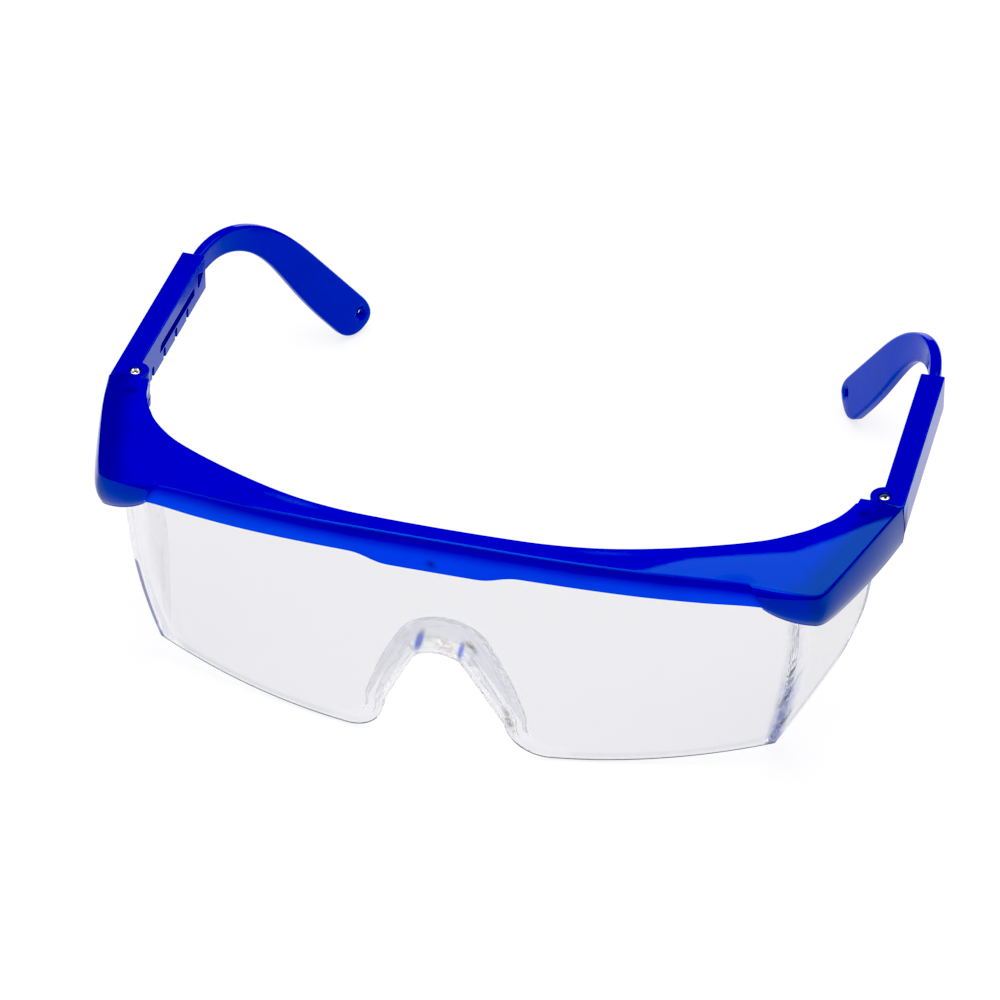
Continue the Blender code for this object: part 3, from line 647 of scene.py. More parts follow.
def tongue_shape(side):
    """Hinge tongue: a flat ear with a round end and softened edges."""
    x = side * HINGE_X
    low, high = TONGUE_Z
    rings = []
    for z, cut in ((low, TONGUE_SOFT), (low + TONGUE_SOFT, 0.0),
                   (high - TONGUE_SOFT, 0.0), (high, TONGUE_SOFT)):
        radius = TONGUE_R - cut
        ring = [(x - side * radius, TONGUE_ROOT_Y, z)]
        for k in range(25):
            angle = math.pi - math.pi * k / 24
            ring.append((x + side * radius * math.cos(angle), HINGE_Y + radius * math.sin(angle), z))
        ring.append((x + side * radius, TONGUE_ROOT_Y, z))
        rings.append(ring)
    return loft(rings)


def nose_peg_shape():
    """Short peg behind the middle of the lip, lying along Y."""
    return loft([[(radius * cosine, y, NOSE_PEG_Z + radius * sine) for cosine, sine in circle(32)]
                 for y, radius in ((-48.3, PEG_R), (-43.8, PEG_R), (-43.6, PEG_R - 0.2))])


def build_brow_frame():
    half = []
    lip_stations = list(np.linspace(0.0, 5.80, 31)) + [5.92, 5.97, 5.993]
    cap_stations = [CAP_STATION + gap for gap in (0.004, 0.03, 0.08)]
    cap_stations += list(np.linspace(6.18, 11.65, 29))
    for stations, cap in ((lip_stations, False), (cap_stations, True)):
        for station in stations:
            half.append(brow_ring(brow_corners(float(station), cap), crown_at(station)))
    for y, bead in END_BEAD:
        half.append(brow_ring(end_parts(y), crown_at(END_STATION), bead))
    obj = mesh_object("brow_frame_moulding", *loft(both_sides(half)))
    subdivide(obj, 2)
    additions, holes = [], []
    for side in (1, -1):
        end_wall_x = sorted((side * 71.3, side * 78.45))
        additions.append(tongue_shape(side))
        additions.append(box_shape(end_wall_x, (-0.9, 0.2), (-7.2, 0.05)))
        additions.append(turned(side * PEG_X, PEG_Y,
                                ((-4.2, PEG_R - 0.2), (-4.0, PEG_R), (1.0, PEG_R)), 32))
        hole = ((TONGUE_Z[0] - 1, SCREW_HOLE_R), (TONGUE_Z[1] + 1, SCREW_HOLE_R))
        holes.append(turned(side * HINGE_X, HINGE_Y, hole, 40))
    additions.append(nose_peg_shape())
    combine(obj, join_shapes(*additions), "UNION")
    combine(obj, join_shapes(*holes), "DIFFERENCE")
    shade(obj)
    return obj


# ------------------------------------------------------------------------ lens
def nose_outline(steps):
    """Left half of the nose opening, (x, z): arch, straight flank, curved foot."""
    arch_end, flank_end = 0.28, 0.62
    arch_z = NOSE_TOP_Z - NOSE_ARCH_DROP
    flank_x, flank_z = NOSE_HALF_W - 5.6, LENS_LOW_Z + 9.5
    foot_x = NOSE_HALF_W + 2.6
    out = []
    for k in range(steps + 1):
        share = k / steps
        if share < arch_end:
            angle = share / arch_end * NOSE_ARCH_TURN
            out.append((NOSE_TOP_HALF_W * math.sin(angle) / math.sin(NOSE_ARCH_TURN),
                        NOSE_TOP_Z - NOSE_ARCH_DROP * (1 - math.cos(angle)) / 0.625))
        elif share < flank_end:
            part = (share - arch_end) / 0.34
            out.append((mix(NOSE_TOP_HALF_W, flank_x, part ** 0.93), mix(arch_z, flank_z, part)))
        else:
            angle = (share - flank_end) / 0.38 * math.pi / 2
            out.append((mix(flank_x, foot_x, (1 - math.cos(angle)) ** 0.92),
                        mix(flank_z, LENS_LOW_Z, math.sin(angle))))
    return out


def lens_low(x):
    start, end = LENS_LOW_X
    share = np.clip((abs(x) - start) / (end - start), 0, 1)
    return LENS_LOW_Z + (LENS_CORNER_Z - LENS_LOW_Z) * share ** 2.0


def lens_columns():
    """(on shield, place, lowest z) of each column.  The place is an X at the bottom edge
    on the front, and the share of the way back on the shield."""
    columns = [(False, x, z) for x, z in nose_outline(84)]
    for x in np.linspace(columns[-1][1] + 0.7, 60.8, 46):
        columns.append((False, float(x), float(lens_low(x))))
    columns.append((False, fold_x(LENS_CORNER_Z), LENS_CORNER_Z))
    start, rest = SHIELD_ROUND_START, 0.26
    shares = [0.012, 0.03, 0.06, 0.1, 0.15] + list(np.linspace(0.2, start, 16))
    shares += list(start + rest * np.sin(np.linspace(0, 1, 15)[1:] * math.pi / 2))
    for share in shares:
        corner = float(np.clip((share - start) / rest, 0, 1))
        rounding = SHIELD_ROUND_RISE * (1 - math.sqrt(max(0.0, 1 - corner ** 2)))
        low = LENS_CORNER_Z + SHIELD_RISE * share ** 1.35 + rounding
        columns.append((True, float(share), low))
    return columns


def lens_surface(inset):
    """Middle and left half of the lens face lying this far inside the outer face."""
    grid = []
    for on_shield, place, low in lens_columns():
        column = []
        for row in range(LENS_ROWS + 1):
            down = row / LENS_ROWS
            down -= 0.06 * math.sin(2 * math.pi * down) / (2 * math.pi)
            if on_shield:
                top = -1.4 - 1.0 * place - 7.2 * float(smoothstep(0.80, 0.90, place))
                z = mix(top, low, down)
                y = mix(lens_y(fold_x(z), z), SHIELD_REAR_Y, place)
                x = shield_x(y, z) - inset
                if place < 0.2:
                    y += inset * 0.55 * (1 - place / 0.2)
            else:
                sideways = place / fold_x(low)
                z = mix(plate_z(place) - PLATE_THICK - 1.5, low, down)
                x = place + (fold_x(z) - fold_x(low)) * sideways ** 3
                y = lens_y(x, z) + inset
                x -= inset * 0.85 * sideways ** 12
            column.append(np.array((x, y, z)))
        grid.append(column)
    return grid


def lens_shell_shape():
    """Both faces of the lens, joined by a rounded strip all round the border."""
    outer, inner = (np.array(both_sides(lens_surface(inset))) for inset in (0.0, LENS_THICK))
    columns, rows = outer.shape[:2]
    count = columns * rows
    outer_ids = np.arange(count).reshape(columns, rows).tolist()
    inner_ids = np.arange(count, 2 * count).reshape(columns, rows).tolist()
    points = [tuple(point) for face in (outer, inner) for point in face.reshape(-1, 3)]
    faces = []
    for c in range(columns - 1):
        for r in range(rows - 1):
            faces.append((outer_ids[c][r], outer_ids[c][r + 1],
                          outer_ids[c + 1][r + 1], outer_ids[c + 1][r]))
            faces.append((inner_ids[c][r], inner_ids[c + 1][r],
                          inner_ids[c + 1][r + 1], inner_ids[c][r + 1]))
    border = ([(c, 0) for c in range(columns)]
              + [(columns - 1, r) for r in range(1, rows)]
              + [(c, rows - 1) for c in range(columns - 2, -1, -1)]
              + [(0, r) for r in range(rows - 2, 0, -1)])
    centre = np.array([0.0, 0.0, -18.0])
    lines = []
    for k, (c, r) in enumerate(border):
        along = outer[border[(k + 1) % len(border)]] - outer[border[k - 1]]
        across = inner[c, r] - outer[c, r]
        outward = np.cross(across, along)
        outward /= max(np.linalg.norm(outward), 1e-9)
        if r == 0 and np.dot(outward, outer[c, r] - centre) < 0:
            outward = outward * -1.0
        start = len(points)
        for share, swell in ((0.12, 0.62), (0.5, 1.0), (0.88, 0.62)):
            points.append(tuple(outer[c, r] + across * share + outward * LENS_EDGE_BULGE * swell))
        lines.append([outer_ids[c][r], start, start + 1, start + 2, inner_ids[c][r]])
    for k, line in enumerate(lines):
        after = lines[(k + 1) % len(lines)]
        for j in range(4):
            faces.append((line[j], after[j], after[j + 1], line[j + 1]))
    return points, faces


def nose_rim_profile(deep, wide):
    """Section of the nose rim: (depth behind the lens face, flare, thickness)."""
    thick, radius = NOSE_RIM_THICK, NOSE_RIM_ROUND
    shares = (0.25, 0.38, 0.5, 0.62, 0.74)
    profile = [(0.4, 0.05, 0.0)]
    profile += [(deep * share, wide * 0.84 * share, 0.0) for share in shares]
    profile += [(deep - radius + radius * sine, wide, radius - radius * cosine)
                for sine, cosine in quarter(6)]
    profile += [(deep - radius + radius * cosine, wide, thick - radius + radius * sine)
                for sine, cosine in quarter(6)]
    profile += [(deep * share, wide * 0.84 * share, thick) for share in reversed(shares)]
    return profile + [(0.4, 0.05, thick)]


def nose_rim_shape():
    """Flared rim standing back from the nose opening."""
    line = [point for point in nose_outline(110) if point[1] > LENS_LOW_Z + 3.5]
    last = len(line) - 1
    line = [(-x, z) for x, z in reversed(line[1:])] + line
    middle_flare, half_flare, foot_flare = NOSE_RIM_FLARE
    rings = []
    for k, (x, z) in enumerate(line):
        before, after = line[max(k - 2, 0)], line[min(k + 2, len(line) - 1)]
        run_x, run_z = after[0] - before[0], after[1] - before[1]
        length = math.hypot(run_x, run_z)
        normal_x, normal_z = -run_z / length, run_x / length
        share = abs(k - last) / last
        deep = (LENS_THICK * 0.6 + NOSE_RIM_DEPTH[0]
                + (NOSE_RIM_DEPTH[1] - NOSE_RIM_DEPTH[0]) * share ** 1.6)
        wide = (middle_flare + (half_flare - middle_flare) * float(smoothstep(0, 0.5, share))
                + (foot_flare - half_flare) * float(smoothstep(0.55, 1.0, share)))
        rings.append([(x + normal_x * (flare + out), lens_y(x, z) + depth,
                       z + normal_z * (flare + out))
                      for depth, flare, out in nose_rim_profile(deep, wide)])
    return loft(rings)


def build_lens():
    obj = mesh_object("wrap_lens", *lens_shell_shape())
    combine(obj, nose_rim_shape(), "UNION")
    # one notch at the top middle, one near the upper rear corner of each shield
    notches = [box_shape((-1.6, 1.6), (-55, -40), (5.9, plate_z(0) + 2))]
    for side in (1, -1):
        notches.append(box_shape(sorted((side * 69.0, side * 77.0)), (-7.9, -4.5), (-4.8, 3.0)))
    combine(obj, join_shapes(*notches), "DIFFERENCE")
    shade(obj, 28.0)
    return obj


# -------------------------------------------------------------------- temples
def rounded_box(x_range, y_range, z_range, radius, steps=6):
    """Box lofted along Y with rounded long edges and softened ends."""
    centre_x, centre_z = sum(x_range) / 2, sum(z_range) / 2
    half_x, half_z = (x_range[1] - x_range[0]) / 2, (z_range[1] - z_range[0]) / 2
    y_start, y_end = y_range

    def ring(y, pull):
        out = []
        for side_x, side_z, start in ((1, 1, 0), (-1, 1, 90), (-1, -1, 180), (1, -1, 270)):
            for k in range(steps + 1):
                angle = math.radians(start + 90 * k / steps)
                out.append((centre_x + side_x * (half_x - pull - radius) + radius * math.cos(angle), y,
                            centre_z + side_z * (half_z - pull - radius) + radius * math.sin(angle)))
        return out

    front = [(y_start + radius * (1 - sine), radius * (1 - cosine))
             for sine, cosine in reversed(quarter(steps))]
    middle = [(float(y), 0.0) for y in np.linspace(y_start + radius, y_end - radius, 10)[1:-1]]
    rear = [(y_end - (y - y_start), pull) for y, pull in reversed(front)]
    return loft([ring(y, pull) for y, pull in front + middle + rear])


def hinge_rod(z_range, radius, edge):
    """Upright rod on the hinge axis with rounded ends."""
    low, high = z_range
    profile = [(low + edge * (1 - cosine), radius - edge * (1 - sine)) for sine, cosine in quarter(5)]
    profile += [(high - edge * (1 - sine), radius - edge * (1 - cosine)) for sine, cosine in quarter(5)]
    return turned(HINGE_X, HINGE_Y, profile, 64)


def inner_wall_cut(outline):
    """Cutter through the sleeve's inner wall, from a (y, z) outline."""
    return loft([[(x, y, z) for y, z in outline] for x in (SLEEVE_IN_X - 2, CHANNEL_X[0] + 0.5)])


def channel_mouth():
    """Flare at the rear end of the channel."""
    (x0, x1), (z0, z1) = CHANNEL_X, CHANNEL_Z
    return loft([[(x0 - grow, y, z0 - grow), (x1 + grow, y, z0 - grow),
                  (x1 + grow, y, z1 + grow), (x0 - grow, y, z1 + grow)]
                 for y, grow in ((SLEEVE_Y[1] - 0.25, 0.0), (SLEEVE_Y[1] + 1.0, 0.9))])


def view_slot():
    """Long slot with a pointed front end."""
    (y0, y1), (z0, z1) = VIEW_SLOT_Y, VIEW_SLOT_Z
    return inner_wall_cut([(y0, z0 + 0.25), (y0 + 0.35, z0), (y1 - 0.2, z0), (y1, z0 + 0.25),
                           (y1, z1 - 0.25), (y1 - 0.3, z1), (y0 + 1.3, z1), (y0 + 0.5, z1 - 0.35)])


def notch_row():
    """Row of notches in the lower edge of the inner wall."""
    outline = [(-0.65, -10), (0.65, -10), (0.65, -5.7), (0.25, -5.3), (-0.25, -5.3), (-0.65, -5.7)]
    centres = [NOTCH_FIRST_Y + k * NOTCH_PITCH for k in range(NOTCH_COUNT)]
    return join_shapes(*[inner_wall_cut([(centre + y, z) for y, z in outline])
                         for centre in centres])


def build_sleeve():
    sleeve = mesh_object("sleeve_left", *toed(rounded_box(
        (SLEEVE_IN_X, SLEEVE_OUT_X), SLEEVE_Y, (-SLEEVE_H, 0.0), 0.3)))
    front_y, rear_y = SLEEVE_Y
    for addition in (
            hinge_rod((LUG_LOW_Z, 0.0), LUG_R, 0.28),
            box_shape((HINGE_X, HINGE_X + 2.0), (front_y + 0.3, HINGE_Y + 5),
                      (LUG_LOW_Z, -SLEEVE_H + 1))):
        combine(sleeve, toed(addition), "UNION")
    screw_hole = ((-10, SCREW_HOLE_R), (1, SCREW_HOLE_R))
    screw_sink = ((-SCREW_SINK, SCREW_SINK_R), (-0.12, SCREW_SINK_R),
                  (0.0, SCREW_SINK_R + 0.08), (1, SCREW_SINK_R + 0.9))
    # small step in the slot boxes' heights keeps their faces apart
    for cut in (
            hinge_rod(SLOT_Z, LUG_R + 0.25, 0.1),
            box_shape((HINGE_X - 6, HINGE_X + LUG_R + 0.2), (front_y - 2, HINGE_Y),
                      (SLOT_Z[0] + 0.001, SLOT_Z[1] - 0.001)),
            box_shape((HINGE_X - 6, HINGE_X), (HINGE_Y - 1, HINGE_Y + LUG_R + 0.2),
                      (SLOT_Z[0] + 0.002, SLOT_Z[1] - 0.002)),
            turned(HINGE_X, HINGE_Y, screw_hole, 40),
            turned(HINGE_X, HINGE_Y, screw_sink),
            box_shape(CHANNEL_X, (CHANNEL_Y, rear_y + 5), CHANNEL_Z),
            channel_mouth(),
            view_slot(),
            inner_wall_cut([(38.3, -1.6), (41.3, -3.0), (38.8, -4.9), (38.0, -4.6)]),
            notch_row()):
        combine(sleeve, toed(cut), "DIFFERENCE")
    shade(sleeve, 40.0)
    return sleeve


def hook_heading(distance):
    """Direction of the strap at a distance along it, its yaw and its share of the drop."""
    turn = float(smoothstep(YAW_START, YAW_START + YAW_RUN, distance))
    drop_share = float(smoothstep(DROP_START, DROP_START + DROP_RUN, distance))
    yaw = TOE_IN + (HOOK_YAW - TOE_IN) * turn
    drop = HOOK_DROP * drop_share
    along = np.array([-math.sin(yaw) * math.cos(drop), math.cos(yaw) * math.cos(drop),
                      -math.sin(drop)])
    return along, yaw, drop_share


def hook_path(distance):
    """Top edge point of the strap with its along, face and down directions."""
    steps = max(2, int(distance * 1.5))
    place = np.array([HOOK_START_X, SLEEVE_Y[1] - 0.4, HOOK_START_Z])
    for k in range(steps):
        place = place + distance / steps * hook_heading((k + 0.5) * distance / steps)[0]
    along, yaw, drop_share = hook_heading(distance)
    face = np.array([-math.cos(yaw), -math.sin(yaw), HOOK_LEAN * drop_share])
    face = face - along * face.dot(along)
    face /= np.linalg.norm(face)
    down = np.cross(face, along)
    if down[2] > 0:
        down = -down
    return place, along, face, down


def strap_ring(place, across, out, low, high, half, radius):
    """Rounded strap section with soft edges and very slightly crowned faces."""
    radius = min(radius, half)
    turn = quarter(7)
    crown = ((0.3, 0.03), (0.5, 0.045), (0.7, 0.03))
    ring = [(low + radius - radius * s, -half + radius - radius * c) for s, c in turn]
    ring += [(low + radius - radius * c, half - radius + radius * s) for s, c in turn]
    ring += [(mix(low, high, share), half + rise) for share, rise in crown]
    ring += [(high - radius + radius * s, half - radius + radius * c) for s, c in turn]
    ring += [(high - radius + radius * c, -half + radius - radius * s) for s, c in turn]
    ring += [(mix(low, high, share), -half - rise) for share, rise in reversed(crown)]
    return [tuple(place + across * wide + out * thick) for wide, thick in ring]


def hook_section(distance):
    place, _, face, down = hook_path(distance)
    start_width = BAR_H - 0.3
    grow = float(smoothstep(7.0, 53.0, distance))
    width = start_width + (HOOK_WIDTH - BAR_H + 0.3) * grow
    half = BAR_W / 2 + (HOOK_THICK - BAR_W) / 2 * float(smoothstep(0.0, 5.0, distance))
    to_tip = HOOK_LENGTH - distance
    cut_top = cut_low = 0.0
    if to_tip < HOOK_TIP:
        share = 1 - to_tip / HOOK_TIP
        cut = 1 - math.sqrt(max(0.0, 1 - share * share))
        cut_top, cut_low = 2.6 * cut, 4.6 * cut
        half *= 1 - 0.35 * share ** 4
    return strap_ring(place, down, face, cut_top, width - cut_low, half, min(0.62, half * 0.7))


def hook_hole():
    """Small hole near the tip, widening outside both faces."""
    place, along, face, down = hook_path(HOOK_LENGTH - HOLE_FROM_TIP)
    centre = place + down * HOLE_FROM_TOP
    # (distance from the strap's middle, extra radius)
    half = ((0.65, 0.0), (0.8, 0.05), (1.2, 0.9), (4.0, 3.6))
    profile = [(-depth, extra) for depth, extra in reversed(half)] + list(half)
    return loft([[tuple(centre + face * depth + (along * cosine + down * sine) * (HOLE_R + extra))
                  for cosine, sine in circle(48)] for depth, extra in profile])


def build_hook():
    tip_start = HOOK_LENGTH - HOOK_TIP
    stops = np.concatenate([
        np.linspace(0.8, 40.0, 90), np.linspace(40.0, tip_start, 26)[1:-1],
        HOOK_LENGTH - HOOK_TIP * (1 - np.sin(np.linspace(0.0, 0.988, 22) * math.pi / 2))])
    sections = []
    # the bar in the channel: its front end is softened
    for y, shrink in ((BAR_Y, 0.25), (BAR_Y + 0.08, 0.1), (BAR_Y + 0.3, 0.0), (SLEEVE_Y[1] - 1.6, 0.0)):
        place = np.array([sum(CHANNEL_X) / 2, y, sum(CHANNEL_Z) / 2 + BAR_H / 2])
        sections.append(toe(strap_ring(place, np.array([0, 0, -1.0]), np.array([-1.0, 0, 0]),
                                       shrink, BAR_H - shrink, BAR_W / 2 - 0.05 - shrink, 0.4)))
    sections += [hook_section(float(stop)) for stop in stops]
    hook = mesh_object("hook_left", *loft(sections))
    combine(hook, hook_hole(), "DIFFERENCE")
    shade(hook, 35.0)
    return hook


def build_screw():
    profile = [(-8.2, SCREW_R - 0.15), (-8.05, SCREW_R), (-0.74, SCREW_R),
               (-0.73, SCREW_HEAD_R - 0.1), (-0.68, SCREW_HEAD_R)]
    profile += [(-0.62 + 0.44 * sine, max(SCREW_HEAD_R * cosine ** 0.75, 0.04))
                for sine, cosine in quarter(8)[1:]]
    screw = mesh_object("screw_left", *turned(HINGE_X, HINGE_Y, profile, 56))
    # cross recess: two tapered slots, each (z, half length, half width)
    for angle in (0.5, 0.5 + math.pi / 2):
        cosine, sine = math.cos(angle), math.sin(angle)
        rings = []
        for z, long, wide in ((-0.95, 0.50, 0.20), (0.2, 0.95, 0.34)):
            corners = ((-long, -wide), (long, -wide), (long, wide), (-long, wide))
            rings.append([(HINGE_X + cosine * along - sine * across,
                           HINGE_Y + sine * along + cosine * across, z)
                          for along, across in corners])
        combine(screw, loft(rings), "DIFFERENCE")
    shade(screw, 35.0)
    return screw


# ------------------------------------------------------------ painted attributes
def mesh_points(obj):
    flat = np.zeros(len(obj.data.vertices) * 3, np.float32)
    obj.data.vertices.foreach_get("co", flat)
    return flat.reshape(-1, 3).astype(float)


def design_points(obj):
    points = mesh_points(obj) / MM
    points[:, 1] -= DATUM_Y
    points[:, 2] -= DATUM_Z
    return points


def paint(obj, name, values):
    attribute = obj.data.attributes.new(name, "FLOAT", "POINT")
    attribute.data.foreach_set("value", np.clip(values, 0, 1).astype(np.float32))


def segment_distance(x, y, start, end):
    dx, dy = end[0] - start[0], end[1] - start[1]
    share = np.clip(((x - start[0]) * dx + (y - start[1]) * dy) / (dx * dx + dy * dy), 0, 1)
    return np.hypot(x - start[0] - share * dx, y - start[1] - share * dy)


def line_distance(x, y, line):
    return np.minimum.reduce([segment_distance(x, y, start, end)
                              for start, end in zip(line[:-1], line[1:])])


def paint_brow(obj):
    """Masks: painted backlight on the lip in front of the lens, where light would come through;
    painted shade on the end caps, in a band under the crease, along its outer part and in the gap to the
    sleeve, with darker spots over the pegs; dullness on the lip and in the gap."""
    x, y, z = design_points(obj).T
    wide = np.abs(x)
    lower = traced(LOWER)
    z_low = np.interp(wide, lower[:, 0], lower[:, 2])
    z_top = plate_z(x)
    down = np.clip((z_top - z) / np.maximum(z_top - z_low, 0.5), 0, 1.3)
    front = fall(1.2, 3.2, y - np.interp(wide, lower[:, 0], lower[:, 1]))
    inner = fall(57.0, 60.0, wide - 0.45 * (z_top - z))
    # the painted backlight starts higher up towards the right end
    backlight_start = mix(0.16, 0.04, smoothstep(25.0, 50.0, wide) * (x < 0))
    paint(obj, "painted_backlight", front * inner * smoothstep(backlight_start, 0.78, down))

    # painted shade on the end caps, where no light comes through
    caps = 0.35 * np.maximum(front * (1 - inner) * smoothstep(0.05, 0.2, down),
                             (1 - inner) * smoothstep(0.1, 0.3, down))
    # painted shade in a band just under the crease, fading out towards the right
    band = (0.24 * front * inner * smoothstep(0.03, 0.08, down) * fall(0.18, 0.42, down)
            * fall(20.0, 45.0, -x))
    # darker spots over the hinge pegs and the nose peg
    side_spots = 0.75 * np.exp(-(np.hypot(wide - 72.8, y + 5.7) / 1.5) ** 4)
    nose_spot = 0.6 * np.exp(-(x ** 2 + (z - NOSE_PEG_Z) ** 2)) * (y < -47.5)
    # painted shade along the outer part of the crease
    from_crease = np.abs(wide - np.interp(y, CREASE_LINE[:, 1], CREASE_LINE[:, 0]))
    outer = (0.6 * smoothstep(61.0, 70.0, wide) * smoothstep(-36.0, -33.0, y)
             * fall(2.5, 7.0, from_crease))
    # painted shadow in the gap between the frame's end and the sleeve, kept dull
    seam = np.maximum(1.0 * (y > 0.06) * (y < 0.3) * (z > -7.4),
                      1.0 * (y > -0.52) * (y < 0.3) * (z < z_top - 0.45) * (wide > 74.0))
    paint(obj, "thick", np.maximum.reduce([caps, side_spots, nose_spot, outer, band, seam]))
    paint(obj, "matt", np.maximum(front * inner * smoothstep(0.02, 0.15, down), seam))
    paint(obj, "seam_shade", seam)


# plan line (x, y) of the slight break where the plate starts to slope outwards
BREAK = ((30.0, -50.5), (39.5, -43.0), (46.0, -35.5), (55.5, -29.0), (63.0, -24.0),
         (67.0, -18.0), (71.0, -12.5), (76.0, -6.0), (80.5, 0.5))
# upward part of a sight line mirrored by the plate: at the break, and its change either
# side, reached over the break's softness
MIRROR_RISE, MIRROR_CHANGE, BREAK_SOFT = 0.592, 0.10, 1.5
# for small tilts that upward part is LEVEL + PER_X * tilt_x - PER_Y * tilt_y
RISE_LEVEL, RISE_PER_X, RISE_PER_Y = 0.6157, 0.419, 1.519
PLATE_TILT_X = 0.12


def polish_plate(obj):
    """Shading normals of the plate tops: nearly flat, sloping less behind the break
    line than in front of it, so that each part mirrors an even tone."""
    mesh = obj.data
    count = len(mesh.loops)
    normals = np.zeros(count * 3, np.float32)
    mesh.corner_normals.foreach_get("vector", normals)
    normals = normals.reshape(-1, 3).astype(float)
    index = np.zeros(count, np.int32)
    mesh.loops.foreach_get("vertex_index", index)
    x, y, z = design_points(obj)[index].T
    wide = np.abs(x)
    best, signed = np.full(count, 1e9), np.zeros(count)
    for start, end in zip(BREAK[:-1], BREAK[1:]):
        dx, dy = end[0] - start[0], end[1] - start[1]
        distance = segment_distance(wide, y, start, end)
        beside = -(dx * (y - start[1]) - dy * (wide - start[0]))
        near = distance < best
        best = np.where(near, distance, best)
        signed = np.where(near, np.sign(beside) * distance, signed)
    rise = MIRROR_RISE + MIRROR_CHANGE * np.tanh(signed / BREAK_SOFT)
    tilt_y = (RISE_LEVEL + RISE_PER_X * PLATE_TILT_X - rise) / RISE_PER_Y
    target = np.stack([np.sign(x) * PLATE_TILT_X, tilt_y,
                       np.sqrt(1 - PLATE_TILT_X * PLATE_TILT_X - tilt_y * tilt_y)], 1)
    on_top = z > plate_z(x) - 1.0
    weight = smoothstep(0.85, 0.91, normals[:, 2]) * smoothstep(25.0, 36.0, wide) * on_top
    weight = (weight * fall(-1.4, -0.8, y))[:, None]
    out = normals * (1 - weight) + target * weight
    out /= np.linalg.norm(out, axis=1)[:, None]
    mesh.normals_split_custom_set([tuple(normal) for normal in out])


def camera_axes(vector):
    """The camera's right and forward directions, as the given vector type."""
    ahead = vector((-math.sin(CAMERA_TURN), math.cos(CAMERA_TURN), 0.0))
    right = vector((math.cos(CAMERA_TURN), math.sin(CAMERA_TURN), 0.0))
    look = ahead * math.cos(CAMERA_TILT) - vector((0, 0, 1)) * math.sin(CAMERA_TILT)
    return right, look


# Painted refraction patches by line of sight: (right, down) of the camera's axis and the two half
# sizes, all in millimetres per metre of distance, then the turn in degrees.
BLUE_PATCHES = ((-11.571429, 20.142857, 0.6571429, 1.7857143, 19),
                (-5.5714286, 21.571429, 0.5142857, 1.5, 13))
WARM_PATCHES = ((-8.2857143, 20.428571, 2.2857143, 0.9285714, 24),
                (-4.1428571, 21.0, 1.4285714, 0.4, 45),
                (1.2857143, 31.571429, 0.6428571, 2.1428571, -20))
WARM_STRENGTHS = (0.75, 1.0, 0.8)


def sight_patches(points, patches):
    """One soft oval mask for each patch."""
    right, look = camera_axes(np.array)
    away = points - np.array(CAMERA_AT)
    metres = away @ look * MM
    across = away @ right / metres
    below = -(away @ np.cross(right, look)) / metres
    masks = []
    for centre_x, centre_y, half_x, half_y, turn in patches:
        cosine, sine = math.cos(math.radians(turn)), math.sin(math.radians(turn))
        along = (across - centre_x) * cosine + (below - centre_y) * sine
        beside = (below - centre_y) * cosine - (across - centre_x) * sine
        masks.append(np.exp(-((along / half_x) ** 2 + (beside / half_y) ** 2) ** 2))
    return masks


def paint_lens(obj):
    """Masks for the tints and see-through parts of the lens."""
    points = design_points(obj)
    x, y, z = points.T
    wide = np.abs(x)
    left = x > 0
    fold = fold_x(z)
    depth = y - lens_y(x, z)
    outer = (depth < 0.4) | (wide > shield_x(y, z) - 0.4)
    nose_part = (wide < 25.0) * (z < -10.5)

    # ghost: the tight folds and the nose rim scatter a soft bluish light, most of all
    # the left fold low down
    near_fold = (np.exp(-((wide - fold + 0.5) / np.where(left, 1.4, 1.0)) ** 4)
                 * (y < -22.0) * np.where(outer, 1.0, 0.55))
    lower = smoothstep(18.0, 30.0, -z)
    near_fold = near_fold * np.where(left, 0.42 + 0.58 * lower, 0.10 + 0.15 * lower)
    rim = smoothstep(2.2, 3.0, depth) * nose_part
    paint(obj, "ghost", np.maximum(near_fold, 0.08 * rim))

    # painted shade: the left shield's glass colour is a little darker
    shield = smoothstep(-24.0, -21.0, y)
    paint(obj, "shield_shade", shield * left)

    # faint: the inside of the right fold, the right shield and the nose rim
    inside_fold = 0.8 * (~left) * (~outer) * fall(4.0, 6.0, np.abs(wide - fold)) * (depth > 0.5)
    rear_edge = fall(1.0, 2.6, SHIELD_REAR_Y - y)
    right_shield = shield * (~left) * np.maximum(0.5, 0.85 * rear_edge)
    arch = line_distance(wide, z, nose_outline(40))
    nose = (0.42 * smoothstep(0.3, 0.9, depth) * nose_part
            * np.maximum(fall(2.6, 4.6, arch), smoothstep(2.2, 2.9, depth)))
    paint(obj, "faint", np.maximum.reduce([inside_fold, right_shield, nose]))

    # edge: a painted dark line along the bottom edge of the front
    bottom = [(place, low) for on_shield, place, low in lens_columns()
              if not on_shield and place > 10.0]
    on_edge = line_distance(wide, z, bottom) < 0.16
    paint(obj, "edge", 1.0 * on_edge * (depth < 0.4) * (z < LENS_LOW_Z + 4.5))

    # crest: a painted lilac reflection on the lower half of the right fold, which stands on the outline
    paint(obj, "crest", 1.0 * (~left) * (np.abs(wide - fold) < 0.75) * (depth < 0.3)
          * smoothstep(17.5, 22.0, -z))

    # painted refractions: colours that the bridge of the nose rim picks up from the frame and the table
    front_face = (wide < 20.0) * (depth < 0.35) * (z < -10.5)
    bluish = np.maximum.reduce(sight_patches(points, BLUE_PATCHES))
    warm = np.maximum.reduce([strength * mask for strength, mask in zip(
        WARM_STRENGTHS, sight_patches(points, WARM_PATCHES))])
    paint(obj, "bluish", bluish * front_face)
    paint(obj, "warm", warm * front_face)


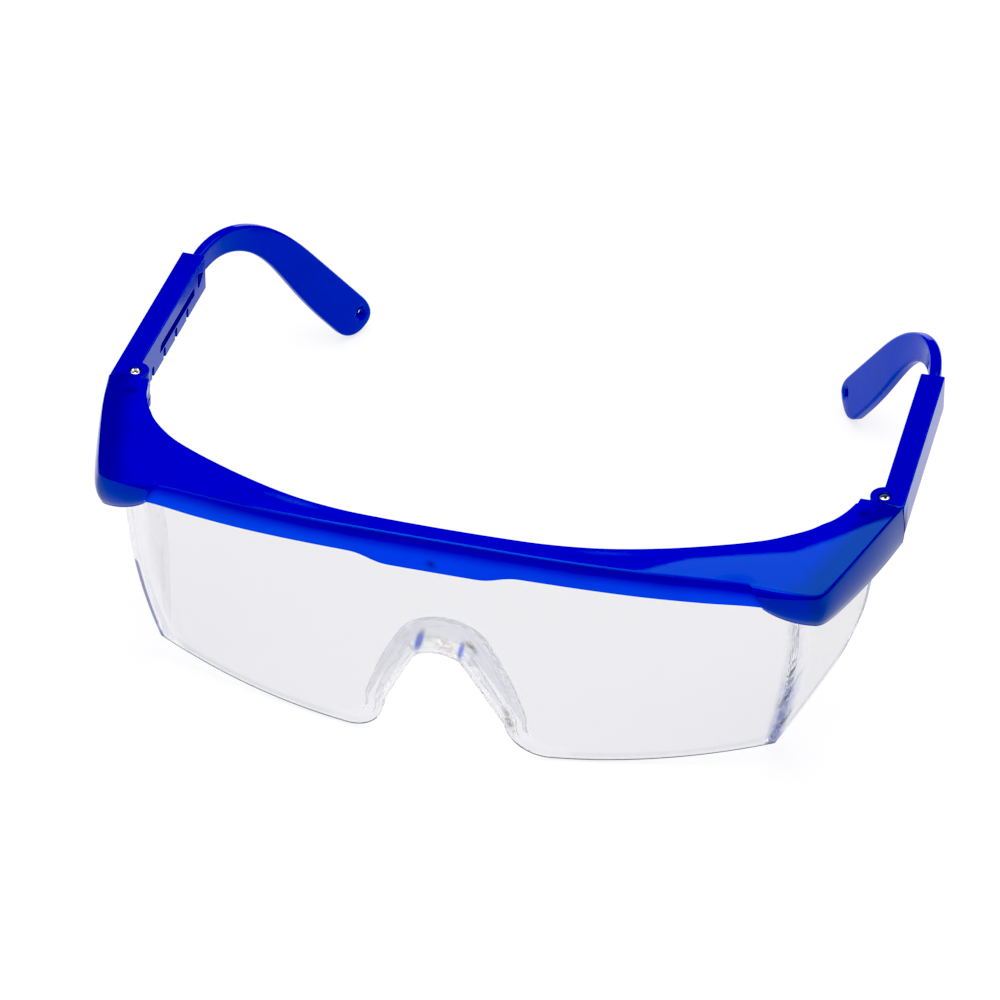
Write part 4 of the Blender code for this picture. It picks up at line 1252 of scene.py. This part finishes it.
# painted backlight, darker tone, dullness and the painted gap shadow of a temple part
def paint_temple(obj, painted_backlight, thick, matt, seam_shade):
    paint(obj, "matt", np.maximum(matt, seam_shade))
    paint(obj, "painted_backlight", np.full_like(seam_shade, painted_backlight))
    paint(obj, "thick", np.maximum(thick, seam_shade))
    paint(obj, "seam_shade", seam_shade)


def paint_sleeve(obj):
    """Even, slightly darker tone, with a painted shadow on the front rim where it meets the frame's end,
    kept dull.
    """
    x, y, z = design_points(obj).T
    rim = 1.0 * (y < SLEEVE_Y[0] + 0.55) * (z < -0.45) * (np.abs(x) > 76.0)
    paint_temple(obj, painted_backlight=0.0, thick=0.16, matt=0.1, seam_shade=rim)


def paint_hook(obj):
    paint_temple(obj, painted_backlight=0.15, thick=0.26, matt=0.36, seam_shade=np.zeros(len(obj.data.vertices)))


def paint_screw(obj):
    """recess: painted shade in the cross of the screw head."""
    x, y, z = design_points(obj).T
    radius = np.hypot(np.abs(x) - HINGE_X, y - HINGE_Y)
    paint(obj, "recess", smoothstep(0.40, 0.62, -z) * (radius < 0.95) * (z > -1.2))


# ------------------------------------------------------------------- assembly
def finish_piece(obj, mat, body, node):
    obj.data.materials.clear()
    obj.data.materials.append(mat)
    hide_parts(node)
    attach(obj, body)


blue = blue_plastic()
clear = clear_polycarbonate()
steel = screw_steel()

brow = build_brow_frame()
paint_brow(brow)
polish_plate(brow)
finish_piece(brow, blue, "frame", "brow_frame")

lens = build_lens()
paint_lens(lens)
finish_piece(lens, clear, "frame", "lens")

for build, paint_piece, label, piece_node, piece_body, piece_mat, piece_slot in (
        (build_sleeve, paint_sleeve, "sleeve", "temple_sleeve", "temple_{}", blue, "frame_blue"),
        (build_hook, paint_hook, "hook", "ear_hook", "hook_{}", blue, "frame_blue"),
        (build_screw, paint_screw, "screw", "hinge_screw", "frame", steel, "screw_steel")):
    left_piece = build()
    right_piece = mirrored(left_piece, label + "_right")
    for piece, side_name in ((left_piece, "left"), (right_piece, "right")):
        paint_piece(piece)
        finish_piece(piece, piece_mat, piece_body.format(side_name),
                     piece_node + "_" + side_name)


# ------------------------------------------------------------- floor and light
def pale_floor():
    """Grey that also glows, a little dimmer where a surface mirrors it."""
    mat = bpy.data.materials.new("pale_floor")
    nodes = Nodes(mat, "ShaderNodeOutputMaterial")
    base = nodes.add("ShaderNodeBsdfDiffuse", {"Color": (0.26, 0.26, 0.26, 1)})
    path = nodes.add("ShaderNodeLightPath")
    outside = nodes.maths("LESS_THAN", path.outputs["Transmission Depth"], 0.5)
    in_mirror = nodes.maths("MULTIPLY", path.outputs["Is Glossy Ray"], outside)
    strength = nodes.spread(in_mirror, source=(0.0, 1.0),
                            target=(FLOOR_GLOW, FLOOR_GLOW - FLOOR_MIRROR_LOSS))
    glow = nodes.add("ShaderNodeEmission", {"Color": (1, 1, 1, 1)})
    glow.inputs["Strength"].default_value = FLOOR_GLOW
    nodes.tree.links.new(strength, glow.inputs["Strength"])
    nodes.finish(nodes.add("ShaderNodeAddShader", {0: base.outputs[0], 1: glow.outputs[0]}))
    return mat


def build_floor():
    """Round table top, in metres, touching the lens edge and the tips of the hooks."""
    rings = [[(radius * cosine, radius * sine, 0.0) for cosine, sine in circle(96)]
             for radius in (0.0, 0.08, 0.2, 0.4, 0.7)]
    floor = metre_object("floor", *skin(rings))
    shell, tips = mesh_points(lens), mesh_points(bpy.data.objects["hook_left"])
    start = shell[np.argmin(shell[:, 2])]
    tips = tips[tips[:, 1] > 0.03]
    slope = float(np.min((tips[:, 2] - start[2]) / (tips[:, 1] - start[1])))
    height = float(np.min(shell[:, 2] - slope * shell[:, 1]))
    floor.rotation_euler = (math.atan(slope), 0.0, 0.0)
    floor.location = (0.0, 0.0, height - 0.0002)
    floor.data.materials.append(pale_floor())


def build_world():
    """Soft studio: bright from about 40 degrees up, dim below, white to the camera."""
    world = bpy.data.worlds.new("studio")
    bpy.context.scene.world = world
    nodes = Nodes(world, "ShaderNodeOutputWorld")
    direction = nodes.add("ShaderNodeTexCoord").outputs["Generated"]
    axes = nodes.add("ShaderNodeSeparateXYZ", {0: direction})
    sideways, height = axes.outputs["X"], axes.outputs["Z"]
    # the bright part reaches lower everywhere but on the wearer's right
    reach = nodes.spread(sideways, source=(-0.17, -0.09), target=(0.0, 0.095), shape="SMOOTHSTEP")
    bright = nodes.spread(nodes.maths("ADD", height, reach), source=(0.686, 0.702),
                          target=(0.004, 1.9), shape="SMOOTHSTEP")
    # stronger light straight above, half as much light from far on the wearer's left
    top = nodes.spread(height, source=(0.80, 0.88), target=(0.0, 2.2), shape="SMOOTHSTEP")
    side = nodes.spread(sideways, source=(0.42, 0.50), target=(1.0, 0.5), shape="SMOOTHSTEP")
    studio = nodes.maths("MULTIPLY", nodes.maths("ADD", bright, top), side)
    path = nodes.add("ShaderNodeLightPath")
    through = nodes.maths("GREATER_THAN", path.outputs["Transmission Depth"], 0.5)
    seen = nodes.most(path.outputs["Is Camera Ray"], through)
    light = nodes.blend(path.outputs["Is Diffuse Ray"], studio, WORLD_FILL, "FLOAT")
    strength = nodes.blend(seen, light, 1.0, "FLOAT")
    nodes.finish(nodes.add("ShaderNodeBackground",
                           {"Color": (1.0, 1.0, 1.0, 1), "Strength": strength}))


def area_light(name, place, size, power):
    """Rectangular light aimed at the spectacles, unseen in reflections."""
    light = bpy.data.lights.new(name, "AREA")
    light.shape = "RECTANGLE"
    light.size, light.size_y = size
    light.energy = power
    obj = bpy.data.objects.new(name, light)
    bpy.context.scene.collection.objects.link(obj)
    obj.location = place
    direction = Vector((0, 0, 0.02)) - Vector(place)
    obj.rotation_euler = direction.to_track_quat("-Z", "Y").to_euler()
    obj.visible_glossy = False
    obj.visible_camera = False


def build_camera():
    camera_data = bpy.data.cameras.new("camera")
    camera_data.sensor_width = 36.0
    camera_data.lens = 252.0
    camera_data.clip_start, camera_data.clip_end = 0.05, 20.0
    camera = bpy.data.objects.new("camera", camera_data)
    bpy.context.scene.collection.objects.link(camera)
    right, look = camera_axes(Vector)
    basis = Matrix((right, right.cross(look), -look)).transposed().to_4x4()
    x, y, z = CAMERA_AT
    place = Vector((x * MM, (y + DATUM_Y) * MM, (z + DATUM_Z) * MM))
    camera.matrix_world = Matrix.Translation(place) @ basis
    bpy.context.scene.camera = camera


def set_render():
    scene = bpy.context.scene
    view = scene.view_settings
    view.view_transform = "Standard"
    view.look = "None"
    view.exposure = 0.0
    view.use_curve_mapping = True
    view.curve_mapping.black_level = (0.028, 0.012, 0.0)
    view.curve_mapping.update()
    cycles = scene.cycles
    cycles.max_bounces = 24
    cycles.transmission_bounces = 24
    cycles.transparent_max_bounces = 12
    cycles.glossy_bounces = 16
    cycles.diffuse_bounces = 3
    cycles.caustics_refractive = False
    cycles.caustics_reflective = False
    cycles.use_denoising = True


build_floor()
build_world()
area_light("overhead", place=(0.05, 0.05, 0.9), size=(0.9, 0.9), power=1.8)
area_light("front", place=(0.1, -0.9, 0.45), size=(0.8, 0.5), power=2.0)
build_camera()
set_render()
